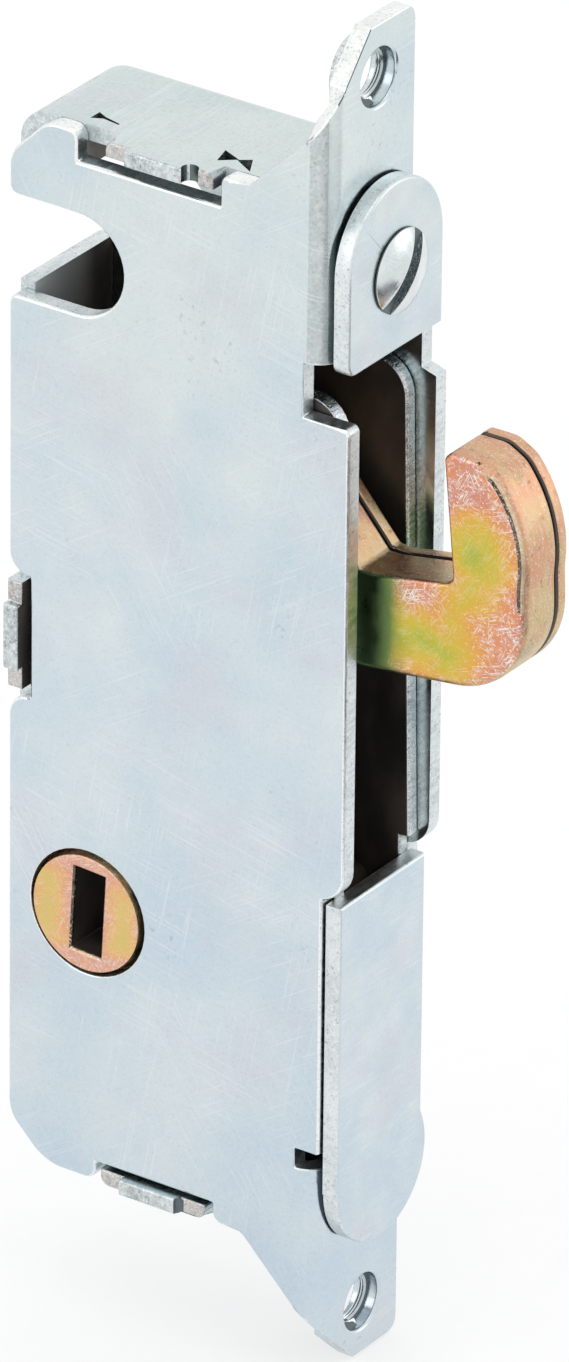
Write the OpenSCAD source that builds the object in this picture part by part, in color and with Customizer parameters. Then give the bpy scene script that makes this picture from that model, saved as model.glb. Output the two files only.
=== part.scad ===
// Sliding patio door lock: a folded sheet case, a hook on an adjustable carriage,
// and a keyed hub that swings the hook through a link.
// X points out of the face, Z up along the lock, Y from the near side to the far side.
// The origin lies on the face, midway between the two fixing holes.

/* [Case] */
// Depth from the face to the rear edge
case_depth = 26.1; // [25.8:0.1:30]
// Top edge above the origin
case_top = 39.4; // [38.6:0.1:41]
// Bottom edge below the origin
case_bottom = 40.7; // [40:0.1:42]
// Sheet thickness of the front shell
front_sheet = 1.4; // [1.2:0.1:1.6]
// Sheet thickness of the rear shell
rear_sheet = 1.2; // [1:0.1:1.4]
// Outside radius of the fold beside the face
front_fold_r = 1.9; // [1.7:0.1:2.2]
// Outside radius of the rear shell's folds
rear_fold_r = 1.5; // [1.4:0.1:2]
// Size of the cut corner at the rear, top and bottom
corner_cut = 3.1; // [2.4:0.1:3.6]
// Radius of the rear shell's drawn corners, seen from the side
rear_corner_r = 2.5; // [2.2:0.1:3]
// How far the side ears stand out past the face
ear_reach = 1.85; // [1.6:0.05:2.1]
// Radius of the ears' lower corner
ear_corner_r = 2.2; // [1.6:0.1:2.6]
// Top end of the side ears
ear_top = 23.4; // [22.8:0.1:24]
// Lower end of the side ears, below the origin
ear_bottom = 12.7; // [12:0.1:12.8]
// Front edge of the far side between its ear and the upper face plate
far_front = 0.65; // [0.4:0.05:0.8]
// Height of that edge above the ear's top
far_step = 3.4; // [1:0.1:3.6]
// Fall of the far ear's upper edge towards its front
far_fall = 0.35; // [0:0.05:0.5]
// Cut at the far side's upper front corner, along the case's depth
far_cut = 2.6; // [2:0.1:3]
// Depth behind the face where the near side's edge starts to slant towards a tab
slant_depth = 6.35; // [6:0.05:6.8]

/* [Face and fixing holes] */
// Distance between the two fixing holes
hole_spacing = 93.66; // [92:0.01:96]
// Bore of the fixing holes at the root of the thread
hole_d = 4.17; // [3.8:0.01:4.4]
// Distance from the near side to the fixing holes
hole_inset = 5.8; // [5.6:0.1:6]
// Outside diameter of the drawn collar behind each hole
collar_d = 5.6; // [5.4:0.1:6.4]
// Length of the drawn collar
collar_len = 0.8; // [0.6:0.1:2.4]
// How far each tab runs past its hole
tab_margin = 3.95; // [3.6:0.05:4.4]
// Distance of each tab's slanted edge from the hole's line, at the tab's end
tab_flat = 1; // [0.6:0.1:1.4]
// Gap between the face's free edge and the far side
web_gap = 0.35; // [0.2:0.05:0.5]
// Radius of each tab's corner
tab_corner_r = 1; // [0.6:0.1:1.4]
// Rise of the upper slanted edge for each millimetre across the face
upper_slope = 1.15; // [1.05:0.01:1.25]
// Rise of the lower slanted edge for each millimetre across the face
lower_slope = 0.95; // [0.88:0.01:1]
// Drop of the upper slanted edge from the tab's end to the near side
upper_drop = 7.2; // [6.8:0.1:7.6]
// Drop of the lower slanted edge from the tab's end to the near side
lower_drop = 5.6; // [5.2:0.1:6]
// Upper end of the opening in the face
opening_top = 27.4; // [27.2:0.1:28.2]
// Lower end of the opening in the face, below the origin
opening_bottom = 34.1; // [33.9:0.1:35]
// Height of the bend relief beside the opening's lower end
relief_h = 1.5; // [0.8:0.1:1.6]

/* [Handle screw notch] */
// Width of the notch
notch_w = 7.5; // [6.5:0.1:8]
// Height of the notch's centre line
notch_z = 29.5; // [29.2:0.1:30]
// Depth of the notch from the rear edge
notch_depth = 9.4; // [8:0.1:10]

/* [Staked tabs] */
// Length of the top and bottom tabs over their spread ends
stake_len = 8.8; // [8:0.1:9.2]
// Length of the rear tab over its spread ends
rear_stake_len = 8.2; // [7.4:0.1:8.6]
// Length of the block between a tab's spread ends
stake_block = 5; // [4:0.1:6]
// How far the block stands out of the near side
stake_proud = 0.7; // [0.4:0.1:0.9]
// How far the spread ends stand out of the near side
stake_spread = 0.15; // [0.1:0.05:0.3]
// Distance from the face to the middle of the top and bottom tabs
stake_depth = 13.7; // [13.2:0.1:14.2]
// Room left beside a tab in its slot
stake_room = 0.5; // [0.3:0.1:0.8]
// Room left under the top tab in its slot
top_under = 1.05; // [0.3:0.05:1.2]
// Room left above the bottom tab in its slot
bottom_under = 0.25; // [0.2:0.05:0.7]
// Room left in front of the rear tab in its slot
rear_under = 0.55; // [0.3:0.05:0.7]
// Extra length of the top tab's slot towards the rear
top_slot_extra = 1.9; // [1:0.1:2.2]

/* [Carriage] */
// Sheet thickness of the carriage plates
carriage_sheet = 1.15; // [1:0.05:1.3]
// Top edge of the carriage plates
carriage_top = 24.3; // [24:0.1:24.8]
// Radius of the rounded front corner
carriage_corner_r = 2.6; // [2:0.1:3.2]
// Front edge at the upper end
carriage_front_up = 0.3; // [0:0.1:0.4]
// Front edge at the lower end
carriage_front_low = 1; // [0.6:0.1:1.2]
// Radius of the guide post
guide_r = 1.6; // [1.2:0.1:1.8]
// Depth of the guide post behind the face
guide_depth = 5; // [4.6:0.1:5.4]
// Guide post below the origin
guide_drop = 30.2; // [30:0.1:30.6]
// Radius of the spacers between the carriage plates
spacer_r = 2; // [1.6:0.1:2.2]
// Depth of the spacers behind the face
spacer_depth = 4; // [3.6:0.1:4.4]
// Upper spacer below the origin
spacer_drop = 16.5; // [16:0.1:17]
// Distance between the two spacers
spacer_pitch = 8.5; // [7:0.1:9]
// Metal left round the guide slots
slot_wall = 1.1; // [0.9:0.1:1.4]

/* [Face plates] */
// Thickness of the face plates
plate_t = 1.25; // [1:0.05:1.4]
// Gap between the face and the face plates
plate_gap = 0.25; // [0.2:0.05:0.4]
// Gap between the side edges and the back of the face plates
edge_gap = 0.15; // [0.1:0.05:0.2]
// Width of the upper face plate
upper_plate_w = 11.1; // [10.4:0.1:11.1]
// Shift of the upper face plate towards the far side
upper_plate_shift = 0.2; // [0:0.05:0.2]
// Centre of the upper plate's half-round top
upper_plate_z = 34; // [33.6:0.1:34.6]
// Lower edge of the upper face plate
upper_plate_low = 26.95; // [26.8:0.05:27.2]
// Thickness of the tongue behind the upper plate's lower edge
tongue_t = 1.2; // [1:0.05:1.3]
// Depth of the tongue behind the face
tongue_depth = 8; // [7.6:0.1:8.4]
// Near edge of the lower face plate from the fixing holes' line
lower_plate_near = 5.45; // [5.2:0.05:5.6]
// Far edge of the lower face plate's straight part
lower_plate_far = 4.75; // [4.5:0.05:5]
// Radius of the lower plate's round end
lower_end_r = 5.35; // [5.2:0.05:5.5]
// Centre of the lower plate's round end, below the origin
lower_end_drop = 35.7; // [35.2:0.1:36.2]
// Gap between the ears and the lower face plate
plate_step = 0.4; // [0.3:0.1:0.8]

/* [Adjusting screw] */
// Height of the screw
screw_z = 32.8; // [32.6:0.1:33.2]
// Distance of the screw from the fixing holes' line, towards the far side
screw_y = 0.6; // [0:0.05:0.7]
// Diameter of the screw's shank
screw_d = 4.17; // [3.8:0.01:4.3]
// Diameter of the screw's head
screw_head_d = 6.1; // [5.6:0.1:6.4]
// Height of the head's rim
screw_rim = 0.15; // [0.15:0.05:0.7]
// Height of the head's dome above the rim
screw_dome = 0.75; // [0.4:0.05:1.1]
// Length of the shank behind the head
screw_len = 13.5; // [12:0.1:15]
// Thread pitch
screw_pitch = 0.79375; // [0.7:0.00625:0.8]
// Turns of the screw over the carriage's whole travel
screw_turns = 4; // [2:0.5:4]
// Gap under the screw's head and in front of its retaining ring
head_gap = 0.05; // [0.03:0.01:0.1]
// Width of the driver slot
slot_w = 1.2; // [0.8:0.05:1.3]
// Depth of the driver slot
slot_depth = 0.8; // [0.5:0.05:0.85]
// Turn of the driver slot from upright, towards the far side
slot_turn = 38; // [0:1:60]
// Thickness of the retaining ring
ring_t = 0.7; // [0.5:0.1:0.8]
// Width of the retaining ring's band
ring_band = 0.85; // [0.6:0.05:0.9]
// Width across the square nut
nut_w = 7; // [6.4:0.1:7.4]
// Thickness of the nut
nut_t = 3; // [2.4:0.1:3.6]

/* [Hook] */
// Thickness of the main lamination
hook_main_t = 3.9; // [3.4:0.05:4.3]
// Thickness of the cover lamination
hook_cover_t = 1.15; // [1:0.05:1.4]
// Gap shown between the laminations
lamination_gap = 0.15; // [0.1:0.05:0.25]
// Distance of the hook's pivot in front of the hub's centre
pivot_ahead = 9.4; // [9.2:0.1:9.8]
// Height of the pivot above the origin
pivot_rise = 17.3; // [17:0.1:17.6]
// Radius of the pivot stud
pivot_r = 2.5; // [2:0.1:2.8]
// Radius of the hook's boss round the pivot
boss_r = 4.5; // [4.2:0.1:4.8]
// Farthest reach of the hook out of the face
hook_reach = 14.3; // [13.4:0.1:14.6]
// Height of the hook's tip
tip_z = 22.5; // [21.8:0.1:22.6]
// Reach of the throat's wall at its floor
throat_x = 8.45; // [8:0.05:8.8]
// How far the tip leans back over the throat
throat_lean = 0.85; // [0.4:0.05:1]
// Height of the throat's floor at its wall
throat_z = 12.65; // [12.2:0.05:13]
// Underside of the arm at the face
arm_z = 4.25; // [4:0.05:5]
// Reach of the throat's inner end
throat_start = 0.9; // [0.6:0.1:1.2]
// Length of the short ramp at the throat's inner end
throat_ramp = 1.1; // [0.8:0.1:1.4]
// Fall of the throat's floor for each millimetre inwards
floor_fall = 0.16; // [0.1:0.01:0.2]
// Radius at the foot of the throat's wall
throat_r = 0.75; // [0.5:0.05:1]
// Flat along the top of the tip
tip_flat = 2.2; // [1.6:0.1:2.4]
// Bevel at the tip's inner corner
tip_bevel = 0.5; // [0.3:0.1:0.7]
// Direction of the slanted edge above the boss, from level
boss_slant = 41; // [39:1:43]
// Radius of the nose's outer curve
nose_r = 9.7; // [9:0.1:10.4]
// Height of the nose's widest point below the tip
nose_drop = 7.3; // [7:0.1:7.6]
// Radius of the curve under the nose
chin_r = 6.45; // [6:0.05:6.8]
// Rise of the curve's lowest point above the arm's underside
chin_rise = 0.7; // [0.6:0.05:0.9]
// Reach of the straight underside in front of the face
arm_reach = 2; // [1:0.1:3]
// Depth of the straight underside behind the face
arm_depth = 3.5; // [3:0.1:4]
// Radius of the hook's drive pin
drive_pin_r = 1.5; // [1.2:0.1:1.6]
// Radius of the hook's tail round the drive pin
tail_r = 2.7; // [2.4:0.1:2.9]
// Radius of the rivet through the laminations
rivet_r = 1.3; // [1:0.1:1.6]
// Depth of the rivet behind the face
rivet_depth = 6.5; // [6.2:0.1:6.8]
// Height of the rivet above the origin
rivet_rise = 9.5; // [9:0.1:9.8]

/* [Hub and drive] */
// Distance from the rear edge to the hub's centre
hub_inset = 6.7; // [6.65:0.05:7.2]
// Hub centre below the origin
hub_drop = 19.8; // [19.4:0.1:20.4]
// Radius of the hub's near journal
hub_r = 4.7; // [4.5:0.05:4.85]
// Radius of the hub's flange and of its lever and spacer inside the case
hub_shoulder_r = 5.3; // [5.2:0.05:5.35]
// Thickness of the hub's flange
hub_flange_t = 1.2; // [0.9:0.1:1.5]
// Radius of the hub's barrel between the flange and the lever
hub_barrel_r = 4.4; // [4.35:0.05:4.5]
// Radius of the hub's far journal and lever seat
hub_seat_r = 4.2; // [4:0.05:4.3]
// Width of the keyway
key_w = 2.45; // [2.2:0.05:2.8]
// Length of the keyway
key_len = 6.4; // [5.8:0.1:6.6]
// Tilt of the keyway from upright
key_tilt = 3; // [0:0.5:6]
// Thickness of the hub's lever
lever_t = 1.85; // [1.4:0.05:2.1]
// Distance from each pivot to its crank pin or drive pin
crank_r = 8; // [7.9:0.05:8.4]
// Swing of the hub and the hook
swing = 76; // [70:1:78]
// Radius of the crank pin
crank_pin_r = 1.3; // [1:0.1:1.5]
// Radius of the lever and the link round the crank pin
eye_r = 2.3; // [2.1:0.05:2.4]
// Thickness of the link
link_t = 0.85; // [0.7:0.05:1]
// Width of the link's stem
link_w = 3.2; // [2.6:0.1:3.4]
// Metal left round the link's slot
link_wall = 1.7; // [1.4:0.1:1.9]
// Offset of the stem's rear edge behind the crank pin
stem_offset = 0.6; // [0.4:0.1:0.7]
// Thickness of the clip on the crank pin
clip_t = 0.5; // [0.4:0.05:0.6]
// Outside radius of the clip
clip_r = 2; // [1.8:0.05:2.1]
// How far the crank pin stands past its clip
pin_proud = 0.3; // [0.1:0.05:0.35]

/* [Spring] */
// Diameter of the spring wire
wire_d = 0.9; // [0.7:0.05:1]
// Mean radius of the spring's coil
coil_r = 2.2; // [1.9:0.1:2.5]
// Distance between the coil's turns
coil_pitch = 1.15; // [1:0.05:1.2]
// Gap between the lever and the spring's upper eye
lever_gap = 0.2; // [0.1:0.05:0.25]
// Turns in the coil
coil_turns = 2; // [1:1:2]
// Distance from the hub's centre to the spring stud
stud_arm = 6.6; // [6.5:0.05:6.8]
// Lean of the spring's dead centre from upright, towards the face
spring_lean = 15; // [12:1:18]
// Radius of the spring stud and of the post's neck
stud_r = 1; // [0.8:0.05:1.1]
// Radius of the stud's riveted neck
stud_neck_r = 0.7; // [0.5:0.05:0.75]
// Metal left round the stud's neck in the lever
stud_wall = 0.6; // [0.4:0.05:0.7]
// Distance from the hub's centre to the spring post
post_span = 15.5; // [15:0.1:16]
// Room between the coil and the guide post in front of it
coil_room = 1.1; // [0.8:0.1:1.4]
// Coil's height above the spring post
coil_above = 3.7; // [3.4:0.1:4]
// Room between the eyes of the spring and the studs that they hang on
eye_room = 0.1; // [0.05:0.05:0.15]

/* [Clearances] */
// Sliding clearance on each side of the carriage
side_clear = 0.05; // [0.03:0.01:0.1]
// Clearance beside the hook
hook_clear = 0.2; // [0.15:0.01:0.25]
// Clearance on each side of the link
link_clear = 0.17; // [0.12:0.01:0.2]
// Radial clearance of turning fits
turn_clear = 0.08; // [0.05:0.01:0.1]
// Radial clearance of pressed and riveted fits
press_clear = 0.02; // [0.01:0.01:0.04]
// Clearance of loose pieces that pass through openings
loose_clear = 0.4; // [0.3:0.05:0.5]

/* [Hidden] */
$fn = 64;
FAR = 200;

// Case thickness, built up from what it holds
case_t = front_sheet + 2 * side_clear + 2 * carriage_sheet + hook_clear + hook_main_t + lamination_gap
    + hook_cover_t + 2 * link_clear + link_t + rear_sheet;

// Places across the case, from the near side to the far side
near_out = -hole_inset;
near_in = near_out + front_sheet;
far_out = near_out + case_t;
far_in = far_out - rear_sheet;
near_plate_y = near_in + side_clear;
near_plate_in = near_plate_y + carriage_sheet;
hook_y = near_plate_in + hook_clear;
cover_y = hook_y + hook_main_t + lamination_gap;
hook_far = cover_y + hook_cover_t;
link_y = hook_far + link_clear;
link_far = link_y + link_t;
far_plate_y = link_far + link_clear;
lever_y = hook_far - lever_t;
web_far = far_in - web_gap;
wall_end = far_out - rear_fold_r;

// Places along the case
rear_x = -case_depth;
hole_z = hole_spacing / 2;
tab_end = hole_z + tab_margin;
wall_notch_w = notch_w - rear_sheet;
plate_back = plate_gap;
plate_front = plate_gap + plate_t;
side_edge = plate_back - edge_gap;
lower_plate_top = -ear_bottom - plate_step;
travel = screw_turns * screw_pitch;

// Pivots and pins at rest, as [x, z]
hub_at = [rear_x + hub_inset, -hub_drop];
pivot_at = [hub_at[0] + pivot_ahead, pivot_rise];
half_swing = swing / 2;
crank_at = hub_at + crank_r * [cos(half_swing), -sin(half_swing)];
drive_at = pivot_at - crank_r * [cos(half_swing), sin(half_swing)];
stud_at = hub_at + stud_arm * [sin(spring_lean - half_swing), -cos(spring_lean - half_swing)];
post_at = hub_at + post_span * [sin(spring_lean), -cos(spring_lean)];
guide_at = [-guide_depth, -guide_drop];
rivet_at = [-rivet_depth, rivet_rise];
coil_at = [guide_at[0] - guide_r - coil_room - wire_d / 2 - coil_r, post_at[1] + coil_above];

// Where the drive pin runs along the link's slot
sway = crank_r * (1 - cos(half_swing));
slot_from = drive_at[0] - 2 * sway;
slot_to = drive_at[0] + travel;

// The spring's path: an eye round the stud, a leg, the coil, a leg and an eye round the post
spring_y = lever_y - lever_gap - wire_d / 2;
spring_near = spring_y - coil_turns * coil_pitch;
eye_mean_r = stud_r + wire_d / 2 + eye_room;
eye_steps = 8;
coil_steps = 12 * coil_turns;
function angle_to(a, b) = atan2(b[1] - a[1], b[0] - a[0]);
function tangent_turn(a, b, ra, rb) = acos((ra + rb) / norm(b - a));
function place(at, r, turn, y) = [at[0] + r * cos(turn), y, at[1] + r * sin(turn)];
stud_side = angle_to(stud_at, coil_at) - tangent_turn(stud_at, coil_at, eye_mean_r, coil_r);
post_side = angle_to(post_at, coil_at) + tangent_turn(post_at, coil_at, eye_mean_r, coil_r);
coil_from = stud_side + 180;
coil_to = post_side + 180 + 360 * (coil_turns - 1);
spring_path = concat(
    [for (i = [0:eye_steps]) place(stud_at, eye_mean_r, stud_side - 270 + 270 * i / eye_steps, spring_y)],
    [for (i = [0:coil_steps])
        place(coil_at, coil_r, coil_from + (coil_to - coil_from) * i / coil_steps,
            spring_y + (spring_near - spring_y) * i / coil_steps)],
    [for (i = [0:eye_steps]) place(post_at, eye_mean_r, post_side + 270 * i / eye_steps, spring_near)]
);

zinc = "lightsteelblue";
dichromate = "goldenrod";
bare_steel = "silver";

// Points along an arc, both ends included
function arc(at, r, from, to, steps) =
    [for (i = [0:steps]) at + r * [cos(from + (to - from) * i / steps), sin(from + (to - from) * i / steps)]];

// Draws an [x, z] outline as a plate that starts at y and is t thick
module side_plate(y, t) {
    translate([0, y + t, 0]) rotate([90, 0, 0]) linear_extrude(t) children();
}

// Draws a [y, z] outline as a plate that starts at x and is t thick
module front_plate(x, t) {
    translate([x, 0, 0]) rotate([90, 0, 90]) linear_extrude(t) children();
}

// A round bar across the case
module bar_y(at, r, from, to) {
    translate([at[0], from, at[1]]) rotate([-90, 0, 0]) cylinder(r = r, h = to - from);
}

// A round bar along X
module bar_x(y, z, r, from, to) {
    translate([from, y, z]) rotate([0, 90, 0]) cylinder(r = r, h = to - from);
}

// A quarter of a ring, for folds in sheet
module quarter_ring(r, t) {
    intersection() {
        difference() {
            circle(r);
            circle(r - t);
        }
        square(r);
    }
}

// A straight arm from one centre to its round end at another
module finger(a, b, r) {
    lean = atan2(b[1] - a[1], b[0] - a[0]);
    side = r * [cos(lean + 90), sin(lean + 90)];
    polygon(concat([a + side, a - side], arc(b, r, lean - 90, lean + 90, 12)));
}

// A level slot that runs back from its front centre
module slot(front, long, r) {
    translate(front) circle(r);
    translate(front - [long, 0]) circle(r);
    translate(front - [long, r]) square([long, 2 * r]);
}

// Height of a tab's slanted edge where the face meets the fold
function slope_head(rise) = tab_end + rise * (near_out + front_fold_r + tab_flat);

// Notch for the handle screw, cut into the rear edge of both sides
module handle_notch() {
    centre_x = rear_x + notch_depth - notch_w / 2;
    slot([centre_x, notch_z], notch_depth, notch_w / 2);
}

// Openings in the near side's edges that the staked tabs pass through
module stake_slots() {
    long = stake_len + 2 * stake_room;
    tall = rear_stake_len + 2 * stake_room;
    top_floor = case_top - rear_sheet - top_under;
    bottom_floor = -case_bottom + rear_sheet + bottom_under;
    translate([-stake_depth - long / 2 - top_slot_extra, top_floor]) square([long + top_slot_extra, FAR]);
    translate([-stake_depth - long / 2, bottom_floor - FAR]) square([long, FAR]);
    translate([rear_x + rear_sheet + rear_under - FAR, -tall / 2]) square([FAR, tall]);
}

// Front edge of the side plates, from the falling top of an ear down to the lower web
function ear_edge(up_x, low_x, fall = 0) = concat(
    [[up_x, ear_top + fall], [ear_reach, ear_top]],
    arc([ear_reach - ear_corner_r, ear_corner_r - ear_bottom], ear_corner_r, 0, -78, 6),
    [[low_x, -ear_bottom]]
);

// Outline of the near side, flat, up to the fold
module near_side_outline() {
    fold_edge = -front_fold_r;
    difference() {
        polygon(concat(
            [
                [rear_x, case_top - corner_cut],
                [rear_x + corner_cut, case_top],
                [-slant_depth, case_top],
                [fold_edge, tab_end - upper_drop]
            ],
            ear_edge(fold_edge, side_edge),
            [
                [side_edge, -opening_bottom + relief_h],
                [fold_edge, -opening_bottom + relief_h],
                [fold_edge, -tab_end + lower_drop],
                [-slant_depth, -case_bottom],
                [rear_x + corner_cut, -case_bottom],
                [rear_x, -case_bottom + corner_cut]
            ]
        ));
        handle_notch();
        stake_slots();
    }
}

// Half of the face: one web with its tab, from an end of the opening outwards
module web_outline(opening_end, rise) {
    fold_end = near_out + front_fold_r;
    corner_at = [web_far - tab_corner_r, tab_end - tab_corner_r];
    polygon(concat(
        [[fold_end, opening_end], [web_far, opening_end]],
        arc(corner_at, tab_corner_r, 0, 90, 6),
        [[-tab_flat, tab_end], [fold_end, slope_head(rise)]]
    ));
}

// The fold beside one web, cut along the slanted edge between its foot and its head
module fold(opening_end, foot, head) {
    chord = front_fold_r * sqrt(2);
    edge_step = 0.06;
    slant = atan((head - foot - 2 * edge_step) / chord);
    translate([-front_fold_r, near_out + front_fold_r, 0]) difference() {
        translate([0, 0, opening_end])
            rotate([0, 0, -90])
                linear_extrude(head - opening_end)
                    quarter_ring(front_fold_r, front_sheet);
        translate([0, 0, (foot + head) / 2])
            rotate([0, 0, -45])
                rotate([slant, 0, 0])
                    translate([-FAR / 2, -FAR / 2, 0])
                        cube(FAR);
    }
}

// One web with its fold, its tab and the collar of its fixing hole
module web(end, opening_end, rise, drop) {
    difference() {
        union() {
            mirror([0, 0, end > 0 ? 0 : 1]) {
                front_plate(-front_sheet, front_sheet) web_outline(opening_end, rise);
                fold(opening_end, tab_end - drop, slope_head(rise));
            }
            bar_x(0, end * hole_z, collar_d / 2, -front_sheet - collar_len, -front_sheet / 2);
        }
        bar_x(0, end * hole_z, hole_d / 2, -front_sheet - collar_len - 1, 1);
    }
}

module front_case_shell() {
    color(zinc) difference() {
        union() {
            side_plate(near_out, front_sheet) near_side_outline();
            web(1, opening_top, upper_slope, upper_drop);
            web(-1, opening_bottom, lower_slope, lower_drop);
        }
        bar_y(hub_at, hub_r + turn_clear, near_out - 1, near_in + 1);
        bar_x(screw_y, screw_z, screw_d / 2 + ring_band + loose_clear, -front_sheet - 1, 1);
        translate([-front_sheet - 1, near_plate_in - loose_clear, opening_top - 1])
            cube([
                front_sheet + 2,
                far_plate_y - near_plate_in + 2 * loose_clear,
                upper_plate_low + tongue_t + loose_clear - opening_top + 1
            ]);
    }
}

// Outline of the far side, flat, inside the folds of its three walls
module far_side_outline() {
    top = case_top - rear_fold_r;
    bottom = -case_bottom + rear_fold_r;
    rear = rear_x + rear_corner_r;
    bend_r = rear_corner_r - rear_fold_r;
    step_z = min(ear_top + far_step, upper_plate_low - edge_gap);
    difference() {
        polygon(concat(
            arc([rear, case_top - rear_corner_r], bend_r, 180, 90, 4),
            [
                [side_edge - far_cut, top],
                [side_edge, top - far_cut],
                [side_edge, step_z],
                [far_front, step_z]
            ],
            ear_edge(far_front, side_edge, far_fall),
            [[side_edge, bottom]],
            arc([rear, rear_corner_r - case_bottom], bend_r, 270, 180, 4)
        ));
        handle_notch();
    }
}

// Section of the rear shell's walls, as [distance out from the wall's face, y], with the fold
module wall_section() {
    translate([-rear_sheet, near_in]) square([rear_sheet, wall_end - near_in]);
    translate([-rear_fold_r, wall_end]) quarter_ring(rear_fold_r, rear_sheet);
}

// A staked tab along X with its block and its spread ends, drawn up from its inner face
module stake(long) {
    for (size = [[long, stake_spread], [stake_block, stake_proud]])
        translate([-size[0] / 2, near_out - size[1], 0])
            cube([size[0], front_sheet + size[1] + rear_sheet, rear_sheet]);
}

// A top or bottom wall with its drawn corner at the rear and its staked tab
module end_wall(end, edge_z) {
    front = -front_fold_r - web_gap;
    rear = rear_x + rear_corner_r;
    mirror([0, 0, end > 0 ? 0 : 1]) {
        translate([front, 0, edge_z]) rotate([0, -90, 0]) linear_extrude(front - rear) wall_section();
        translate([rear, 0, edge_z - rear_corner_r])
            rotate([-90, 0, 0])
                rotate([0, 0, 180])
                    rotate_extrude(angle = 90)
                        translate([rear_corner_r, 0])
                            wall_section();
        translate([-stake_depth, 0, edge_z - rear_sheet]) stake(stake_len);
    }
}

// A stretch of the rear wall between two heights
module rear_wall(top, bottom) {
    translate([rear_x, 0, top]) rotate([0, 180, 0]) linear_extrude(top - bottom) wall_section();
}

// The rear wall on both sides of the handle screw's notch, with its staked tab
module rear_walls() {
    rear_wall(case_top - rear_corner_r, notch_z + wall_notch_w / 2);
    rear_wall(notch_z - wall_notch_w / 2, rear_corner_r - case_bottom);
    translate([rear_x, 0, 0]) rotate([0, 90, 0]) stake(rear_stake_len);
}

module rear_case_shell() {
    color(zinc) difference() {
        union() {
            side_plate(far_in, rear_sheet) far_side_outline();
            end_wall(1, case_top);
            end_wall(-1, case_bottom);
            rear_walls();
        }
        bar_y(hub_at, hub_seat_r + turn_clear, far_in - 1, far_out + 1);
        for (at = [post_at, guide_at]) bar_y(at, stud_r + press_clear, far_in - 1, far_out + 1);
    }
}

module screw_nut() {
    color(bare_steel) difference() {
        translate([-front_sheet - nut_t, screw_y - nut_w / 2, screw_z - nut_w / 2])
            cube([nut_t, nut_w, nut_w]);
        bar_x(screw_y, screw_z, screw_d / 2 + turn_clear, -front_sheet - nut_t - 1, 0);
    }
}

// A post staked into the far side, with its shank flush outside
module case_post(at, r, from) {
    bar_y(at, r, from, far_in);
    bar_y(at, stud_r, far_in - 1, far_out);
}

module carriage_guide_post() {
    color(bare_steel) case_post(guide_at, guide_r, near_in + loose_clear / 2);
}

module spring_post() {
    color(bare_steel) {
        case_post(post_at, guide_r, spring_near + wire_d / 2 + eye_room);
        bar_y(post_at, stud_r, spring_near - wire_d / 2 - eye_room, far_in);
    }
}

// One closed tube swept along a path that lies nearly flat across Y
module wire(path, r, sides) {
    last = len(path) - 1;
    function ahead(i) = path[min(i + 1, last)] - path[max(i - 1, 0)];
    function ring(i) =
        let (
            along = ahead(i) / norm(ahead(i)),
            up_raw = [0, 1, 0] - along[1] * along,
            up = up_raw / norm(up_raw),
            out = cross(along, up)
        )
        [for (k = [0:sides - 1]) path[i] + r * (cos(360 * k / sides) * up + sin(360 * k / sides) * out)];
    points = [for (i = [0:last]) each ring(i)];
    walls = [for (i = [0:last - 1], k = [0:sides - 1])
        let (a = i * sides + k, b = i * sides + (k + 1) % sides)
        each [[a, b, b + sides], [a, b + sides, a + sides]]];
    caps = [
        [for (k = [0:sides - 1]) sides - 1 - k],
        [for (k = [0:sides - 1]) last * sides + k]
    ];
    polyhedron(points, concat(walls, caps));
}

module over_center_spring() {
    color(bare_steel) wire(spring_path, wire_d / 2, 8);
}

// Upper face plate with the tongue that runs back under the web to the carriage plates
module upper_face_plate() {
    half = upper_plate_w / 2;
    low = upper_plate_low;
    color(zinc) {
        front_plate(plate_back, plate_t) difference() {
            union() {
                translate([upper_plate_shift, upper_plate_z]) circle(half);
                translate([upper_plate_shift - half, low]) square([2 * half, upper_plate_z - low]);
            }
            translate([screw_y, screw_z]) circle(screw_d / 2 + turn_clear);
        }
        translate([-tongue_depth, near_plate_in, low])
            cube([tongue_depth + plate_back + plate_t / 2, far_plate_y - near_plate_in, tongue_t]);
    }
}

module lower_face_plate() {
    end_z = -lower_end_drop;
    color(zinc) front_plate(plate_back, plate_t) union() {
        translate([0, end_z]) circle(lower_end_r);
        translate([-lower_plate_near, end_z])
            square([lower_plate_near + lower_plate_far, lower_plate_top - end_z]);
    }
}

// Outline shared by the two carriage plates
module carriage_outline() {
    lug_top = upper_plate_low + tongue_t;
    lug_back = -tongue_depth;
    lug_front = -front_sheet - travel - loose_clear;
    corner_at = [carriage_front_up - carriage_corner_r, carriage_top - carriage_corner_r];
    waist = hub_at[0] + crank_r + clip_r + loose_clear;
    foot_wall = guide_r + turn_clear + slot_wall;
    foot_top = guide_at[1] + foot_wall;
    foot_low = guide_at[1] - foot_wall;
    foot_back = guide_at[0] - travel - foot_wall;
    ear_step = slot_wall - ear_bottom;
    shoulder = pivot_at - (boss_r + slot_wall) * [1, 1];
    difference() {
        polygon(concat(
            arc(corner_at, carriage_corner_r, 90, 0, 8),
            [
                [carriage_front_low, ear_step],
                [plate_back, ear_step],
                [plate_back, foot_low],
                [foot_back, foot_low],
                [foot_back, foot_top],
                [waist, foot_top],
                [waist, shoulder[1] + shoulder[0] - waist],
                shoulder,
                [shoulder[0], carriage_top],
                [lug_back, carriage_top],
                [lug_back, lug_top],
                [lug_front, lug_top],
                [lug_front, carriage_top]
            ]
        ));
        slot(guide_at, travel, guide_r + turn_clear);
    }
}

module carriage_near_plate() {
    color(zinc) difference() {
        side_plate(near_plate_y, carriage_sheet) carriage_outline();
        bar_y(pivot_at, pivot_r + press_clear, near_plate_y - 1, near_plate_in + 1);
    }
}

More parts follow.
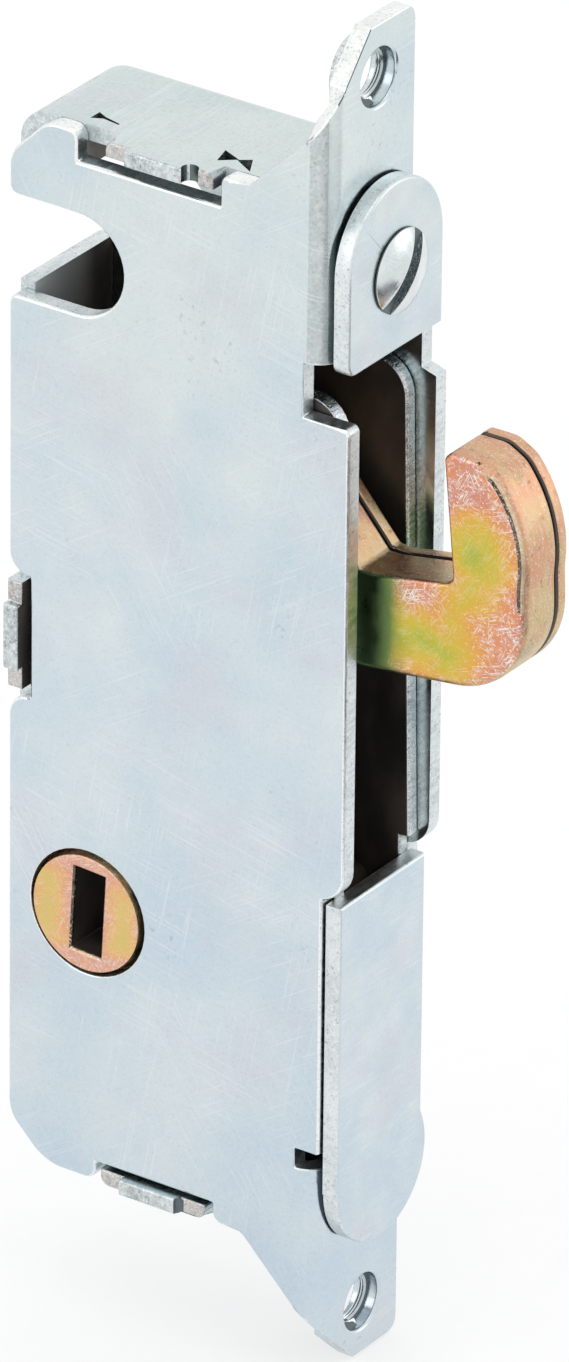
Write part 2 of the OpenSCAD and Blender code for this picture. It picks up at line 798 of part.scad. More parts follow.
module carriage_far_plate() {
    color(zinc) side_plate(far_plate_y, carriage_sheet) carriage_outline();
}

module carriage_spacers() {
    color(bare_steel) for (i = [0, 1])
        bar_y([-spacer_depth, -spacer_drop - i * spacer_pitch], spacer_r, near_plate_in, far_plate_y);
}

module hook_pivot_stud() {
    color(bare_steel) bar_y(pivot_at, pivot_r, near_plate_y, hook_far);
}

module adjusting_screw() {
    head_r = screw_head_d / 2;
    head_h = screw_rim + screw_dome;
    dome_r = (head_r * head_r + screw_dome * screw_dome) / (2 * screw_dome);
    color(zinc) translate([plate_front + head_gap, screw_y, screw_z]) difference() {
        rotate([0, 90, 0]) rotate_extrude() polygon(concat(
            [[0, -screw_len], [screw_d / 2, -screw_len], [screw_d / 2, 0], [head_r, 0]],
            arc([0, head_h - dome_r], dome_r, acos(head_r / dome_r), 90, 8)
        ));
        translate([head_h - slot_depth, 0, 0])
            rotate([-slot_turn, 0, 0])
                translate([0, -slot_w / 2, -screw_head_d])
                    cube([head_h, slot_w, 2 * screw_head_d]);
    }
}

module screw_retaining_ring() {
    from = plate_back - head_gap - ring_t;
    color(bare_steel) difference() {
        bar_x(screw_y, screw_z, screw_d / 2 + ring_band, from, from + ring_t);
        bar_x(screw_y, screw_z, screw_d / 2 + press_clear, from - 1, from + ring_t + 1);
    }
}

// Outline of the hook with its tail, locked, before its holes
module hook_outline() {
    boss_edge = pivot_at + boss_r * [cos(boss_slant), sin(boss_slant)];
    foot = [throat_start, boss_edge[1] - (throat_start - boss_edge[0]) / tan(boss_slant)];
    ramp_x = throat_start + throat_ramp;
    tip_x = throat_x - throat_lean;
    nose_at = [hook_reach - nose_r, tip_z - nose_drop];
    chin_at = [hook_reach - chin_r, arm_z + chin_r + chin_rise];
    chin_sweep = [-78, 4];
    nose_sweep = [-8, 42];
    tail_end = 255;
    tail_lean = 180 + half_swing;
    tail_open = acos((boss_r - tail_r) / crank_r);
    polygon(concat(
        arc(pivot_at, boss_r, boss_slant, tail_lean - tail_open, 10),
        arc(drive_at, tail_r, tail_lean - tail_open, tail_end, 10),
        [[-arm_depth, arm_z], [arm_reach, arm_z]],
        arc(chin_at, chin_r, chin_sweep[0], chin_sweep[1], 10),
        arc(nose_at, nose_r, nose_sweep[0], nose_sweep[1], 8),
        [[tip_x + tip_bevel + tip_flat, tip_z], [tip_x + tip_bevel, tip_z], [tip_x, tip_z - tip_bevel]],
        arc([throat_x - throat_r, throat_z + throat_r], throat_r, 0, -80, 4),
        [[ramp_x, throat_z - (throat_x - ramp_x) * floor_fall], foot]
    ));
}

// One lamination of the hook
module hook_lamination(y, t) {
    difference() {
        side_plate(y, t) hook_outline();
        bar_y(pivot_at, pivot_r + turn_clear, y - 1, y + t + 1);
        bar_y(drive_at, drive_pin_r + press_clear, y - 1, y + t + 1);
        bar_y(rivet_at, rivet_r + press_clear, y - 1, y + t + 1);
    }
}

module hook_main_plate() {
    color(dichromate) hook_lamination(hook_y, hook_main_t);
}

module hook_cover_plate() {
    color(dichromate) hook_lamination(cover_y, hook_cover_t);
}

module hook_drive_pin() {
    color(bare_steel) bar_y(drive_at, drive_pin_r, hook_y, link_far);
}

module hook_rivet() {
    color(bare_steel) bar_y(rivet_at, rivet_r, hook_y, hook_far);
}

module key_hub() {
    color(dichromate) difference() {
        union() {
            bar_y(hub_at, hub_r, near_out, near_in + side_clear + hub_flange_t / 2);
            bar_y(hub_at, hub_shoulder_r, near_in + side_clear, near_in + side_clear + hub_flange_t);
            bar_y(hub_at, hub_barrel_r, near_in + side_clear, lever_y);
            bar_y(hub_at, hub_seat_r, lever_y - 1, far_out);
        }
        translate([hub_at[0], 0, hub_at[1]])
            rotate([0, key_tilt, 0])
                translate([-key_w / 2, -FAR / 2, -key_len / 2])
                    cube([key_w, FAR, key_len]);
    }
}

module hub_lever() {
    color(bare_steel) difference() {
        side_plate(lever_y, lever_t) union() {
            translate(hub_at) circle(hub_shoulder_r);
            finger(hub_at, crank_at, eye_r);
            finger(hub_at, stud_at, stud_neck_r + stud_wall);
        }
        bar_y(hub_at, hub_seat_r + press_clear, lever_y - 1, hook_far + 1);
        bar_y(crank_at, crank_pin_r + press_clear, lever_y - 1, hook_far + 1);
        bar_y(stud_at, stud_neck_r + press_clear, lever_y - 1, hook_far + 1);
    }
}

module hub_spacer() {
    color(bare_steel) difference() {
        bar_y(hub_at, hub_shoulder_r, hook_far, far_in - side_clear);
        bar_y(hub_at, hub_seat_r + press_clear, hook_far - 1, far_in + 1);
    }
}

module crank_pin() {
    color(bare_steel) bar_y(crank_at, crank_pin_r, lever_y, link_far + link_clear + clip_t + pin_proud);
}

module spring_stud() {
    color(bare_steel) {
        bar_y(stud_at, stud_r, spring_y - wire_d / 2 - eye_room, lever_y);
        bar_y(stud_at, stud_neck_r, lever_y - 1, hook_far);
    }
}

module drive_link() {
    slot_r = drive_pin_r + turn_clear;
    head = slot_r + link_wall;
    color(bare_steel) difference() {
        side_plate(link_y, link_t) difference() {
            union() {
                translate(crank_at) circle(eye_r);
                translate(crank_at - [stem_offset, 0]) square([link_w, drive_at[1] - crank_at[1]]);
                translate([slot_from - head, drive_at[1] - head])
                    square([slot_to - slot_from + 2 * head, 2 * head]);
            }
            slot([slot_to, drive_at[1]], slot_to - slot_from, slot_r);
        }
        bar_y(crank_at, crank_pin_r + turn_clear, link_y - 1, link_far + 1);
    }
}

module link_clip() {
    from = link_far + link_clear;
    color(bare_steel) difference() {
        bar_y(crank_at, clip_r, from, from + clip_t);
        bar_y(crank_at, crank_pin_r + press_clear, from - 1, from + clip_t + 1);
    }
}

front_case_shell();
rear_case_shell();
screw_nut();
carriage_guide_post();
spring_post();
over_center_spring();
upper_face_plate();
lower_face_plate();
carriage_near_plate();
carriage_far_plate();
carriage_spacers();
hook_pivot_stud();
adjusting_screw();
screw_retaining_ring();
hook_main_plate();
hook_cover_plate();
hook_drive_pin();
hook_rivet();
key_hub();
hub_lever();
hub_spacer();
crank_pin();
spring_stud();
drive_link();
link_clip();
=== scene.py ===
import logging
import math
from dataclasses import dataclass
from enum import Enum
from typing import Callable, Optional, Sequence

import bpy
from mathutils import Matrix, Vector


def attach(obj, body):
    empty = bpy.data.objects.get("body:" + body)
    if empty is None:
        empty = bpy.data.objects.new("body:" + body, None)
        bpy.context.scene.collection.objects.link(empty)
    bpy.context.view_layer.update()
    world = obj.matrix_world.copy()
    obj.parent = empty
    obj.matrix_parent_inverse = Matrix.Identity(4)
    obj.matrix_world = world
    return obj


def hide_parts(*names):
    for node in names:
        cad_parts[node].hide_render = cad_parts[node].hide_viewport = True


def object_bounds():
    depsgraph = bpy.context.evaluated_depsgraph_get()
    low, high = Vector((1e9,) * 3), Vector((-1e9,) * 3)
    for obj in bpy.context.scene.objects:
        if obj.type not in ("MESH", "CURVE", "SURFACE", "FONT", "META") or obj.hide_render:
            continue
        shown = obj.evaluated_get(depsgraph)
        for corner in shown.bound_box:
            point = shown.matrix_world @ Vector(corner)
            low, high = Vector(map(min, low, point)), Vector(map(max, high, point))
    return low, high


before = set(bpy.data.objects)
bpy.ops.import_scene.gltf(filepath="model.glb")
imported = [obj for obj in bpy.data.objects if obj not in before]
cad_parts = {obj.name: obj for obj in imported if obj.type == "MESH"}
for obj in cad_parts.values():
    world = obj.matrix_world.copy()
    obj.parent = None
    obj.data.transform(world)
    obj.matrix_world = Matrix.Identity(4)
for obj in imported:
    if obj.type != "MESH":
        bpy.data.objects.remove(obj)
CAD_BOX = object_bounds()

log = logging.getLogger("lock")
MM = 0.001
SAME = 0.02
NEAR = 0.05
SMOOTH = math.radians(32)
Colour = tuple[float, float, float]
Place = tuple[float, float, float]
Flat = tuple[float, float]
Socket = bpy.types.NodeSocket
Material = bpy.types.Material
Piece = bpy.types.Object
Test = Callable[[Vector, Vector], bool]


class Body(Enum):
    """The bodies that the dressed pieces ride on."""

    CASE = "case"
    CARRIAGE = "carriage"
    SCREW = "screw"
    HOOK = "hook"
    HUB = "hub"


class Slot(Enum):
    """Names of the finishes that the dressed pieces stand for."""

    ZINC = "zinc_plate"
    DICHROMATE = "dichromate"


class Side(Enum):
    """Which side of a sheet a face belongs to."""

    FACE = 0
    EDGE = 1
    INSIDE = 2
    WORKED = 3
    RIM = 4
    DEEP = 5
    GAP = 6


Sorter = Callable[[Vector, Vector], Side]


# Node graphs for the finishes


def darker(colour: Colour, share: float) -> Colour:
    """A darker tone of a colour, which keeps this share of it."""
    return tuple(share * c for c in colour)


class Graph:
    """One material's nodes, with short ways to add those that the finishes share."""

    def __init__(self, name: str) -> None:
        """Start an empty material.

        Args:
            name: Name of the material.
        """
        self.material = bpy.data.materials.new(name)
        self.material.use_nodes = True
        self.tree = self.material.node_tree
        self.tree.nodes.clear()
        self.place = self.add("ShaderNodeTexCoord").outputs["Object"]

    def feed(self, socket: Socket, value: object) -> None:
        """Link an input to another node, or set it.

        Args:
            socket: The input.
            value: A number, vector or colour, or the other node's output.
        """
        if isinstance(value, Socket):
            self.tree.links.new(value, socket)
        else:
            socket.default_value = value

    def add(self, kind: str, **values: object) -> bpy.types.Node:
        """Add a node and set its inputs, by name.

        Args:
            kind: Blender's name of the node type.
            **values: Input names with spaces written as underscores, and a number, colour or socket for each.

        Returns:
            The new node.
        """
        node = self.tree.nodes.new(kind)
        for key, value in values.items():
            self.feed(node.inputs[key.replace("_", " ")], value)
        return node

    def noise(self, size: float, detail: float = 2.0, stretch: Place = (1, 1, 1), turn: Place = (0, 0, 0),
              shift: float = 0.0) -> Socket:
        """Cloudy noise on the object's own coordinates.

        Args:
            size: Size of the clouds in millimetres.
            detail: Octaves of finer noise.
            stretch: How much finer the noise is along each axis.
            turn: Turn of the pattern about each axis, in degrees.
            shift: Moves the pattern, so that two layers differ.

        Returns:
            A value around 0.5.
        """
        mapping = self.add("ShaderNodeMapping", Vector=self.place, Scale=tuple(1 / s for s in stretch),
                           Location=(shift, shift * 0.7, shift * 1.3),
                           Rotation=tuple(math.radians(t) for t in turn))
        mapping.vector_type = "TEXTURE"
        node = self.add("ShaderNodeTexNoise", Vector=mapping.outputs[0], Scale=1 / (size * MM), Detail=detail)
        return node.outputs["Fac"]

    def window(self, value: Socket, low: float, high: float, to_low: float = 0.0,
               to_high: float = 1.0) -> Socket:
        """Stretch a range of a value to another range, held at its ends.

        Args:
            value: The value to stretch.
            low: Start of the range that is taken.
            high: End of the range that is taken.
            to_low: What the start becomes.
            to_high: What the end becomes.

        Returns:
            The stretched value.
        """
        node = self.add("ShaderNodeMapRange", Value=value, From_Min=low, From_Max=high,
                        To_Min=to_low, To_Max=to_high)
        return node.outputs[0]

    def operate(self, node: bpy.types.Node, kind: str, values: Sequence[object]) -> bpy.types.Node:
        """Set a maths node's operation and its inputs, in order.

        Args:
            node: The node.
            kind: Blender's name of the operation.
            values: A value or a socket for each input.

        Returns:
            The same node.
        """
        node.operation = kind
        for socket, value in zip(node.inputs, values):
            self.feed(socket, value)
        return node

    def maths(self, kind: str, *values: object) -> Socket:
        """Work out one number from others, each a number or a socket."""
        return self.operate(self.add("ShaderNodeMath"), kind, values).outputs["Value"]

    def vector(self, kind: str, *values: object) -> Socket:
        """Work out one vector from others, each a vector or a socket."""
        return self.operate(self.add("ShaderNodeVectorMath"), kind, values).outputs["Vector"]

    def measure(self, kind: str, *values: object) -> Socket:
        """Work out one number from vectors, each a vector or a socket."""
        return self.operate(self.add("ShaderNodeVectorMath"), kind, values).outputs["Value"]

    def ramp(self, value: Socket, stops: Sequence[tuple[float, Colour]]) -> Socket:
        """Turn a value into a colour.

        Args:
            value: A value from 0 to 1.
            stops: Places along the ramp and their colours.

        Returns:
            The colour.
        """
        node = self.add("ShaderNodeValToRGB", Fac=value)
        elements = node.color_ramp.elements
        while len(elements) < len(stops):
            elements.new(1.0)
        for element, (at, colour) in zip(elements, stops):
            element.position = at
            element.color = (*colour, 1.0)
        return node.outputs["Color"]

    def blend(self, share: object, a: object, b: object, kind: str = "MIX") -> Socket:
        """Mix two colours.

        Args:
            share: How much of the second colour is used, as a number or a socket.
            a: First colour or socket.
            b: Second colour or socket.
            kind: Blender's name of the way of mixing.

        Returns:
            The mixed colour.
        """
        node = self.add("ShaderNodeMix")
        node.data_type = "RGBA"
        node.blend_type = kind
        for socket, value in ((node.inputs[0], share), (node.inputs[6], a), (node.inputs[7], b)):
            self.feed(socket, (*value, 1.0) if isinstance(value, tuple) else value)
        return node.outputs[2]

    def along(self, axis: int) -> Socket:
        """One of the object's coordinates, in metres.

        Args:
            axis: 0 for X, 1 for Y, 2 for Z.

        Returns:
            The coordinate.
        """
        return self.add("ShaderNodeSeparateXYZ", Vector=self.place).outputs[axis]

    def warped(self, size: float, amount: float) -> Socket:
        """The object's coordinates, pushed about by noise so that patches get ragged outlines.

        Args:
            size: Size of the noise in millimetres.
            amount: How far a point is pushed at most, in millimetres.

        Returns:
            The pushed coordinates.
        """
        noise = self.add("ShaderNodeTexNoise", Vector=self.place, Scale=1 / (size * MM), Detail=3.0)
        push = self.vector("SUBTRACT", noise.outputs["Color"], (0.5, 0.5, 0.5))
        return self.vector("MULTIPLY_ADD", push, (4 * amount * MM,) * 3, self.place)

    def band(self, place: Socket, start: Flat, end: Flat, radius: float) -> Socket:
        """A patch along a line on the sides of the lock that fades away from the line.

        Args:
            place: The coordinates to use.
            start: One end of the line, as X and Z in millimetres.
            end: The other end of the line.
            radius: Distance at which it has faded out, in millimetres.

        Returns:
            A value that is 1 on the line and 0 outside.
        """
        run = Vector((end[0] - start[0], 0, end[1] - start[1])) * MM
        flat = self.vector("MULTIPLY_ADD", place, (1, 0, 1), (-start[0] * MM, 0, -start[1] * MM))
        share = self.measure("DOT_PRODUCT", flat, run / run.length_squared)
        held = self.maths("MINIMUM", self.maths("MAXIMUM", share, 0.0), 1.0)
        far = self.measure("DISTANCE", flat, self.vector("MULTIPLY", run, held))
        return self.window(far, 0, radius * MM, 1, 0)

    def scratches(self, turns: Sequence[float], size: float, cut: float, fine: float = 45.0) -> Socket:
        """Fine straight scratches in several directions across the sides of the lock, in loose patches.

        Args:
            turns: Direction of each set, in degrees about Y.
            size: Length of a scratch in millimetres.
            cut: Noise level above which a scratch shows.
            fine: How much thinner a scratch is than long.

        Returns:
            A value that is 1 on a scratch.
        """
        total: Optional[Socket] = None
        for i, turn in enumerate(turns):
            lines = self.noise(size, 1.0, (1, 1, fine), (0, turn, 0), 3.7 + 1.9 * i)
            patch = self.window(self.noise(size * 1.7, 2.0, shift=6.1 + 2.3 * i), 0.48, 0.62)
            mark = self.maths("MULTIPLY", self.window(lines, cut, cut + 0.05), patch)
            total = mark if total is None else self.maths("MAXIMUM", total, mark)
        return total

    def metal(self, colour: Socket, roughness: Socket, relief: Socket, depth: float,
              metallic: float = 1.0) -> Material:
        """Close the graph with a metal surface.

        Args:
            colour: The metal's colour.
            roughness: The metal's roughness.
            relief: Height of the fine relief, from 0 to 1.
            depth: Depth of the relief in millimetres.
            metallic: How much of the surface is bare metal.

        Returns:
            The finished material.
        """
        bump = self.add("ShaderNodeBump", Height=relief, Strength=1.0, Distance=depth * MM)
        shader = self.add("ShaderNodeBsdfPrincipled", Base_Color=colour, Roughness=roughness,
                          Normal=bump.outputs[0], Metallic=metallic)
        self.add("ShaderNodeOutputMaterial", Surface=shader.outputs[0])
        return self.material


@dataclass(frozen=True)
class ZincFinish:
    """Bright zinc plate: pale and cloudy, bluer towards the bottom, with lilac patches and fine scratches."""

    name: str
    pale: Colour = (0.70, 0.765, 0.785)
    cool: Colour = (0.60, 0.70, 0.765)
    lilac: Colour = (0.66, 0.665, 0.72)
    bright: Colour = (0.84, 0.875, 0.895)
    cloud: float = 9.0
    scratch: float = 7.0
    scratched: float = 0.3
    marks: float = 0.4
    grain: float = 0.12
    dull: float = 0.22
    depth: float = 0.004

    def material(self) -> Material:
        """Make the material.

        Returns:
            The finished material.
        """
        g = Graph(self.name)
        clouds = g.window(g.noise(self.cloud, 4.0), 0.36, 0.64)
        colour = g.blend(clouds, self.cool, self.pale)
        patches = g.window(g.noise(self.cloud * 0.8, 3.0, shift=9.1), 0.52, 0.72, 0.0, 0.55)
        colour = g.blend(patches, colour, self.lilac)
        height = g.window(g.along(2), -0.045, 0.045)
        tint = g.ramp(height, (
            (0.0, (0.93, 0.95, 0.975)), (0.5, (0.985, 0.99, 1.0)), (1.0, (1.0, 1.0, 0.965))))
        colour = g.blend(1.0, colour, tint, "MULTIPLY")
        fine = g.noise(0.3, 3.0, shift=4.2)
        colour = g.blend(g.window(fine, 0.45, 0.72, 0.0, self.grain), colour, self.bright)
        pits = g.noise(0.22, 2.0, shift=17.0)
        colour = g.blend(g.window(pits, 0.55, 0.75, 0.0, self.grain), colour, darker(self.cool, 0.4))
        lines = g.scratches((12, 57, 101, 148), self.scratch, 0.62)
        colour = g.blend(g.maths("MULTIPLY", lines, self.scratched), colour, self.bright)
        grimy = g.window(g.noise(9.0, 2.0, shift=21.0), 0.58, 0.68)
        spots = g.window(g.noise(0.45, 4.0, shift=14.0), 0.6, 0.72, 0.0, self.marks)
        colour = g.blend(g.maths("MULTIPLY", spots, grimy), colour, darker(self.lilac, 0.4))
        rough = g.window(g.noise(2.2, 4.0, shift=2.5), 0.3, 0.7, self.dull - 0.06, self.dull + 0.09)
        relief = g.maths("SUBTRACT", fine, g.maths("MULTIPLY", lines, 0.3))
        return g.metal(colour, rough, relief, self.depth)


@dataclass(frozen=True)
class ShearedEdgeFinish:
    """The sheared edge of plated sheet: finely speckled and streaked across its thickness."""

    name: str
    pale: Colour = (0.74, 0.79, 0.80)
    grey: Colour = (0.50, 0.56, 0.58)
    glint: Colour = (0.93, 0.945, 0.95)
    dull: float = 0.36
    streak: float = 0.45
    depth: float = 0.012

    def material(self) -> Material:
        """Make the material.

        Returns:
            The finished material.
        """
        g = Graph(self.name)
        streaks = g.noise(self.streak, 3.0, (1, 0.35, 1))
        broad = g.noise(4.0, 2.0, shift=5.0)
        both = g.maths("ADD", g.maths("MULTIPLY", streaks, 0.6), g.maths("MULTIPLY", broad, 0.4))
        colour = g.blend(g.window(both, 0.36, 0.58), self.grey, self.pale)
        speckle = g.noise(0.16, 2.0, shift=7.0)
        colour = g.blend(g.window(speckle, 0.54, 0.7, 0.0, 0.7), colour, self.glint)
        pits = g.noise(0.2, 2.0, shift=12.0)
        colour = g.blend(g.window(pits, 0.6, 0.74, 0.0, 0.6), colour, darker(self.grey, 0.35))
        rough = g.window(streaks, 0.3, 0.7, self.dull - 0.08, self.dull + 0.1)
        return g.metal(colour, rough, g.maths("ADD", streaks, speckle), self.depth)


@dataclass(frozen=True)
class Patch:
    """A line on the side of the lock along which a finish has its own hue."""

    start: Flat
    end: Flat
    radius: float
    hue: float


@dataclass(frozen=True)
class DichromateFinish:
    """Yellow dichromate over zinc: pink at the rim, then orange, with yellow and green inside."""

    name: str
    patches: tuple[Patch, ...]
    root: Flat
    speckle: float = 0.9
    ragged: float = 0.7
    faded: float = 0.0

    def material(self) -> Material:
        """Make the material.

        Returns:
            The finished material.
        """
        g = Graph(self.name)
        place = g.warped(3.0, self.ragged)
        inner: Optional[Socket] = None
        for patch in self.patches:
            value = g.maths("MULTIPLY", g.band(place, patch.start, patch.end, patch.radius), patch.hue)
            inner = value if inner is None else g.maths("MAXIMUM", inner, value)
        drift = g.maths("SUBTRACT", g.noise(1.6, 4.0, shift=1.4), 0.5)
        hue = g.maths("ADD", g.maths("ADD", inner, g.maths("MULTIPLY", drift, 0.5)), 0.06)
        colour = g.ramp(hue, (
            (0.0, (0.68, 0.29, 0.22)), (0.12, (0.75, 0.31, 0.16)), (0.26, (0.78, 0.36, 0.11)),
            (0.42, (0.77, 0.44, 0.085)), (0.6, (0.69, 0.49, 0.075)), (0.8, (0.58, 0.51, 0.07)),
            (1.0, (0.47, 0.48, 0.07))))
        colour = g.blend(self.faded, colour, (0.82, 0.72, 0.60))
        root = g.window(g.maths("ADD", g.along(0), g.maths("MULTIPLY", drift, 0.0015)),
                        self.root[0] * MM, self.root[1] * MM)
        green = g.ramp(root, (
            (0.0, (0.15, 0.24, 0.11)), (0.5, (0.21, 0.29, 0.09)), (1.0, (0.47, 0.48, 0.09))))
        colour = g.blend(g.window(root, 0.45, 1.0), green, colour)
        lines = g.scratches((20, 62, 118, 160), 0.9, 0.58, 12.0)
        flecks = g.window(g.noise(0.2, 3.0, shift=3.3), 0.58, 0.64)
        rim = g.maths("MULTIPLY", g.window(hue, 0.05, 0.6, 1.0, 0.2), g.window(root, 0.4, 0.9))
        worn = g.maths("MULTIPLY", g.maths("MAXIMUM", lines, flecks), g.maths("MULTIPLY", rim, self.speckle))
        colour = g.blend(worn, colour, (0.94, 0.89, 0.82))
        rough = g.window(g.noise(1.2, 3.0), 0.3, 0.7, 0.26, 0.42)
        return g.metal(colour, rough, g.maths("ADD", worn, g.noise(0.5, 3.0)), 0.008)


@dataclass(frozen=True)
class CopperEdgeFinish:
    """The thick sheared edge of the dichromated hook: tan and coppery, streaked along its length."""

    name: str
    tan: Colour = (0.66, 0.50, 0.27)
    copper: Colour = (0.68, 0.37, 0.22)
    olive: Colour = (0.40, 0.34, 0.19)
    light: Colour = (0.80, 0.70, 0.57)

    def material(self) -> Material:
        """Make the material.

        Returns:
            The finished material.
        """
        g = Graph(self.name)
        broad = g.noise(3.2, 3.0, (1, 1.6, 1))
        high = g.window(g.along(2), 0.008, 0.018, -0.12, 0.12)
        colour = g.blend(g.window(g.maths("SUBTRACT", broad, high), 0.4, 0.6), self.copper, self.tan)
        # Olive patches, more of them lower down the edge.
        low = g.window(g.along(2), 0.006, 0.0125, 0.2, -0.1)
        olive_patches = g.maths("ADD", g.noise(2.0, 3.0, shift=3.0), low)
        colour = g.blend(g.window(olive_patches, 0.52, 0.72, 0.0, 0.8), colour, self.olive)
        streaks = g.noise(0.9, 4.0, (0.7, 3, 0.7), shift=2.2)
        colour = g.blend(g.window(streaks, 0.5, 0.75, 0.0, 0.5), colour, self.light)
        dents = g.window(g.noise(0.6, 4.0, shift=5.4), 0.6, 0.72, 0.0, 0.6)
        colour = g.blend(dents, colour, darker(self.copper, 0.4))
        flecks = g.window(g.noise(0.16, 3.0, shift=8.1), 0.57, 0.66, 0.0, 0.6)
        colour = g.blend(flecks, colour, (0.88, 0.82, 0.74))
        rough = g.window(streaks, 0.3, 0.7, 0.3, 0.46)
        return g.metal(colour, rough, g.maths("ADD", streaks, flecks), 0.014)


@dataclass(frozen=True)
class InsideShadeFinish:
    """A surface inside the lock, painted dark as shade: a little brown, with glossier patches."""

    name: str
    dark: Colour = (0.06, 0.058, 0.055)
    brown: Colour = (0.13, 0.108, 0.092)
    metallic: float = 0.75
    pale: Optional[Colour] = None
    fade: Flat = (-4.4, 2.5)
    lit_above: float = 20.0

    def material(self) -> Material:
        """Make the material.

        Returns:
            The finished material.
        """
        g = Graph(self.name)
        smears = g.noise(4.0, 4.0, (1, 1, 0.5))
        colour = g.blend(g.window(smears, 0.38, 0.62), self.dark, self.brown)
        lines = g.scratches((5, 95), 4.0, 0.66)
        colour = g.blend(g.maths("MULTIPLY", lines, 0.25), colour, (0.2, 0.19, 0.18))
        # Painted light: the pale colour is laid where light comes in through the rear notch, towards the near
        # side and above the given height.
        if self.pale:
            near = g.window(g.along(1), self.fade[0] * MM, self.fade[1] * MM, 1.0, 0.0)
            high = g.window(g.along(2), (self.lit_above - 1) * MM, (self.lit_above + 1) * MM)
            colour = g.blend(g.maths("MULTIPLY", near, high), colour, self.pale)
        rough = g.window(smears, 0.35, 0.65, 0.3, 0.5)
        return g.metal(colour, rough, smears, 0.004, self.metallic)


@dataclass(frozen=True)
class SteelFinish:
    """Oiled bare steel of the pins, posts and levers."""

    name: str
    light: Colour = (0.52, 0.53, 0.54)
    dark: Colour = (0.33, 0.33, 0.33)

    def material(self) -> Material:
        """Make the material.

        Returns:
            The finished material.
        """
        g = Graph(self.name)
        smears = g.noise(2.5, 4.0)
        turned = g.noise(0.4, 2.0, (1, 6, 1), shift=2.0)
        colour = g.blend(g.window(smears, 0.36, 0.64), self.dark, self.light)
        colour = g.blend(g.window(turned, 0.55, 0.7, 0.0, 0.3), colour, (0.66, 0.66, 0.67))
        rough = g.window(smears, 0.3, 0.7, 0.28, 0.45)
        return g.metal(colour, rough, turned, 0.004)


class Finishes:
    """All materials of the lock, each made once."""

    def __init__(self) -> None:
        """Make every finish."""
        self.zinc = ZincFinish("zinc_side").material()
        self.wall = ZincFinish("zinc_wall", pale=(0.66, 0.735, 0.735), cool=(0.575, 0.67, 0.69),
                               grain=0.2).material()
        self.satin = ZincFinish("zinc_satin", cloud=4.5, scratch=3.0, marks=0.15, dull=0.28).material()
        self.polished = ZincFinish("zinc_polished", pale=(0.80, 0.84, 0.85), cool=(0.62, 0.68, 0.70),
                                   cloud=2.5, scratch=2.0, marks=0.3, dull=0.2).material()
        self.burnished = ZincFinish("zinc_burnished", pale=(0.93, 0.95, 0.95), cool=(0.82, 0.86, 0.875),
                                    lilac=(0.85, 0.86, 0.88), bright=(0.97, 0.98, 0.98), cloud=1.5,
                                    grain=0.5, marks=0.0).material()
        self.fold = ZincFinish("zinc_fold", pale=(0.57, 0.625, 0.63), cool=(0.505, 0.57, 0.585), cloud=3.0,
                               grain=0.4, dull=0.3, depth=0.008).material()
        # Painted shade: dark zinc for faces inside the lock, the backs of plates, thread roots, slot floors
        # and gaps.
        self.shadowed = ZincFinish("zinc_inside_painted_shade", pale=(0.17, 0.20, 0.21), cool=(0.10, 0.125, 0.135),
                                   lilac=(0.13, 0.13, 0.14), bright=(0.26, 0.3, 0.31), scratched=0.12,
                                   marks=0.6, dull=0.38).material()
        self.sheared = ShearedEdgeFinish("zinc_sheared").material()
        self.trimmed = ShearedEdgeFinish("zinc_trimmed", pale=(0.78, 0.82, 0.825), grey=(0.62, 0.67, 0.68),
                                         depth=0.01).material()
        self.staked = ShearedEdgeFinish("zinc_staked", pale=(0.70, 0.75, 0.75), grey=(0.40, 0.44, 0.45),
                                        dull=0.3, streak=0.4, depth=0.02).material()
        self.peened = ShearedEdgeFinish("zinc_peened", pale=(0.62, 0.60, 0.58), grey=(0.30, 0.29, 0.28),
                                        dull=0.3, streak=0.35, depth=0.03).material()
        self.hammered = ShearedEdgeFinish("zinc_hammered", pale=(0.70, 0.74, 0.75), grey=(0.36, 0.40, 0.42),
                                          dull=0.24, streak=0.35, depth=0.05).material()
        # Painted shade with glints for the dark burr band, and chips with painted highlight for the bright
        # band beside it.
        self.burr_shade = ShearedEdgeFinish("burr_shade", pale=(0.20, 0.15, 0.11), grey=(0.03, 0.025, 0.02),
                                      glint=(0.85, 0.78, 0.68), depth=0.02).material()
        self.chips_and_highlight = ShearedEdgeFinish("chips_and_highlight", pale=(0.78, 0.60, 0.42), grey=(0.56, 0.37, 0.22),
                                         glint=(0.94, 0.90, 0.82), depth=0.02).material()
        self.rainbow = DichromateFinish("dichromate_face", (
            Patch((2.0, 7.9), (8.2, 7.6), 3.4, 0.85), Patch((8.4, 8.6), (10.4, 13.5), 3.0, 0.58),
            Patch((10.2, 15.2), (10.7, 15.8), 3.6, 0.95)), root=(2.0, 5.0)).material()
        self.gold = DichromateFinish("dichromate_hub", (
            Patch((-22.7, -21.8), (-22.7, -18.4), 2.0, 0.62),
            Patch((-16.3, -21.6), (-16.3, -18.2), 1.9, 0.55)),
            root=(-40.0, -30.0), speckle=0.5, ragged=0.6, faded=0.22).material()
        self.copper = CopperEdgeFinish("dichromate_edge").material()
        # Painted shade: a dark finish for the side plates, spacers, gaps and other parts deep inside the
        # lock.
        self.inside_shade = InsideShadeFinish("inside_painted_shade").material()
        # Painted shade inside the rear wall, with painted light where the notch lets light in.
        self.notch_light_and_shade = InsideShadeFinish("inside_painted_light_and_shade", metallic=0.3, pale=(0.82, 0.89, 0.92)).material()
        self.steel = SteelFinish("oiled_steel").material()


# Work at the bench: the shared ways of shaping a mesh


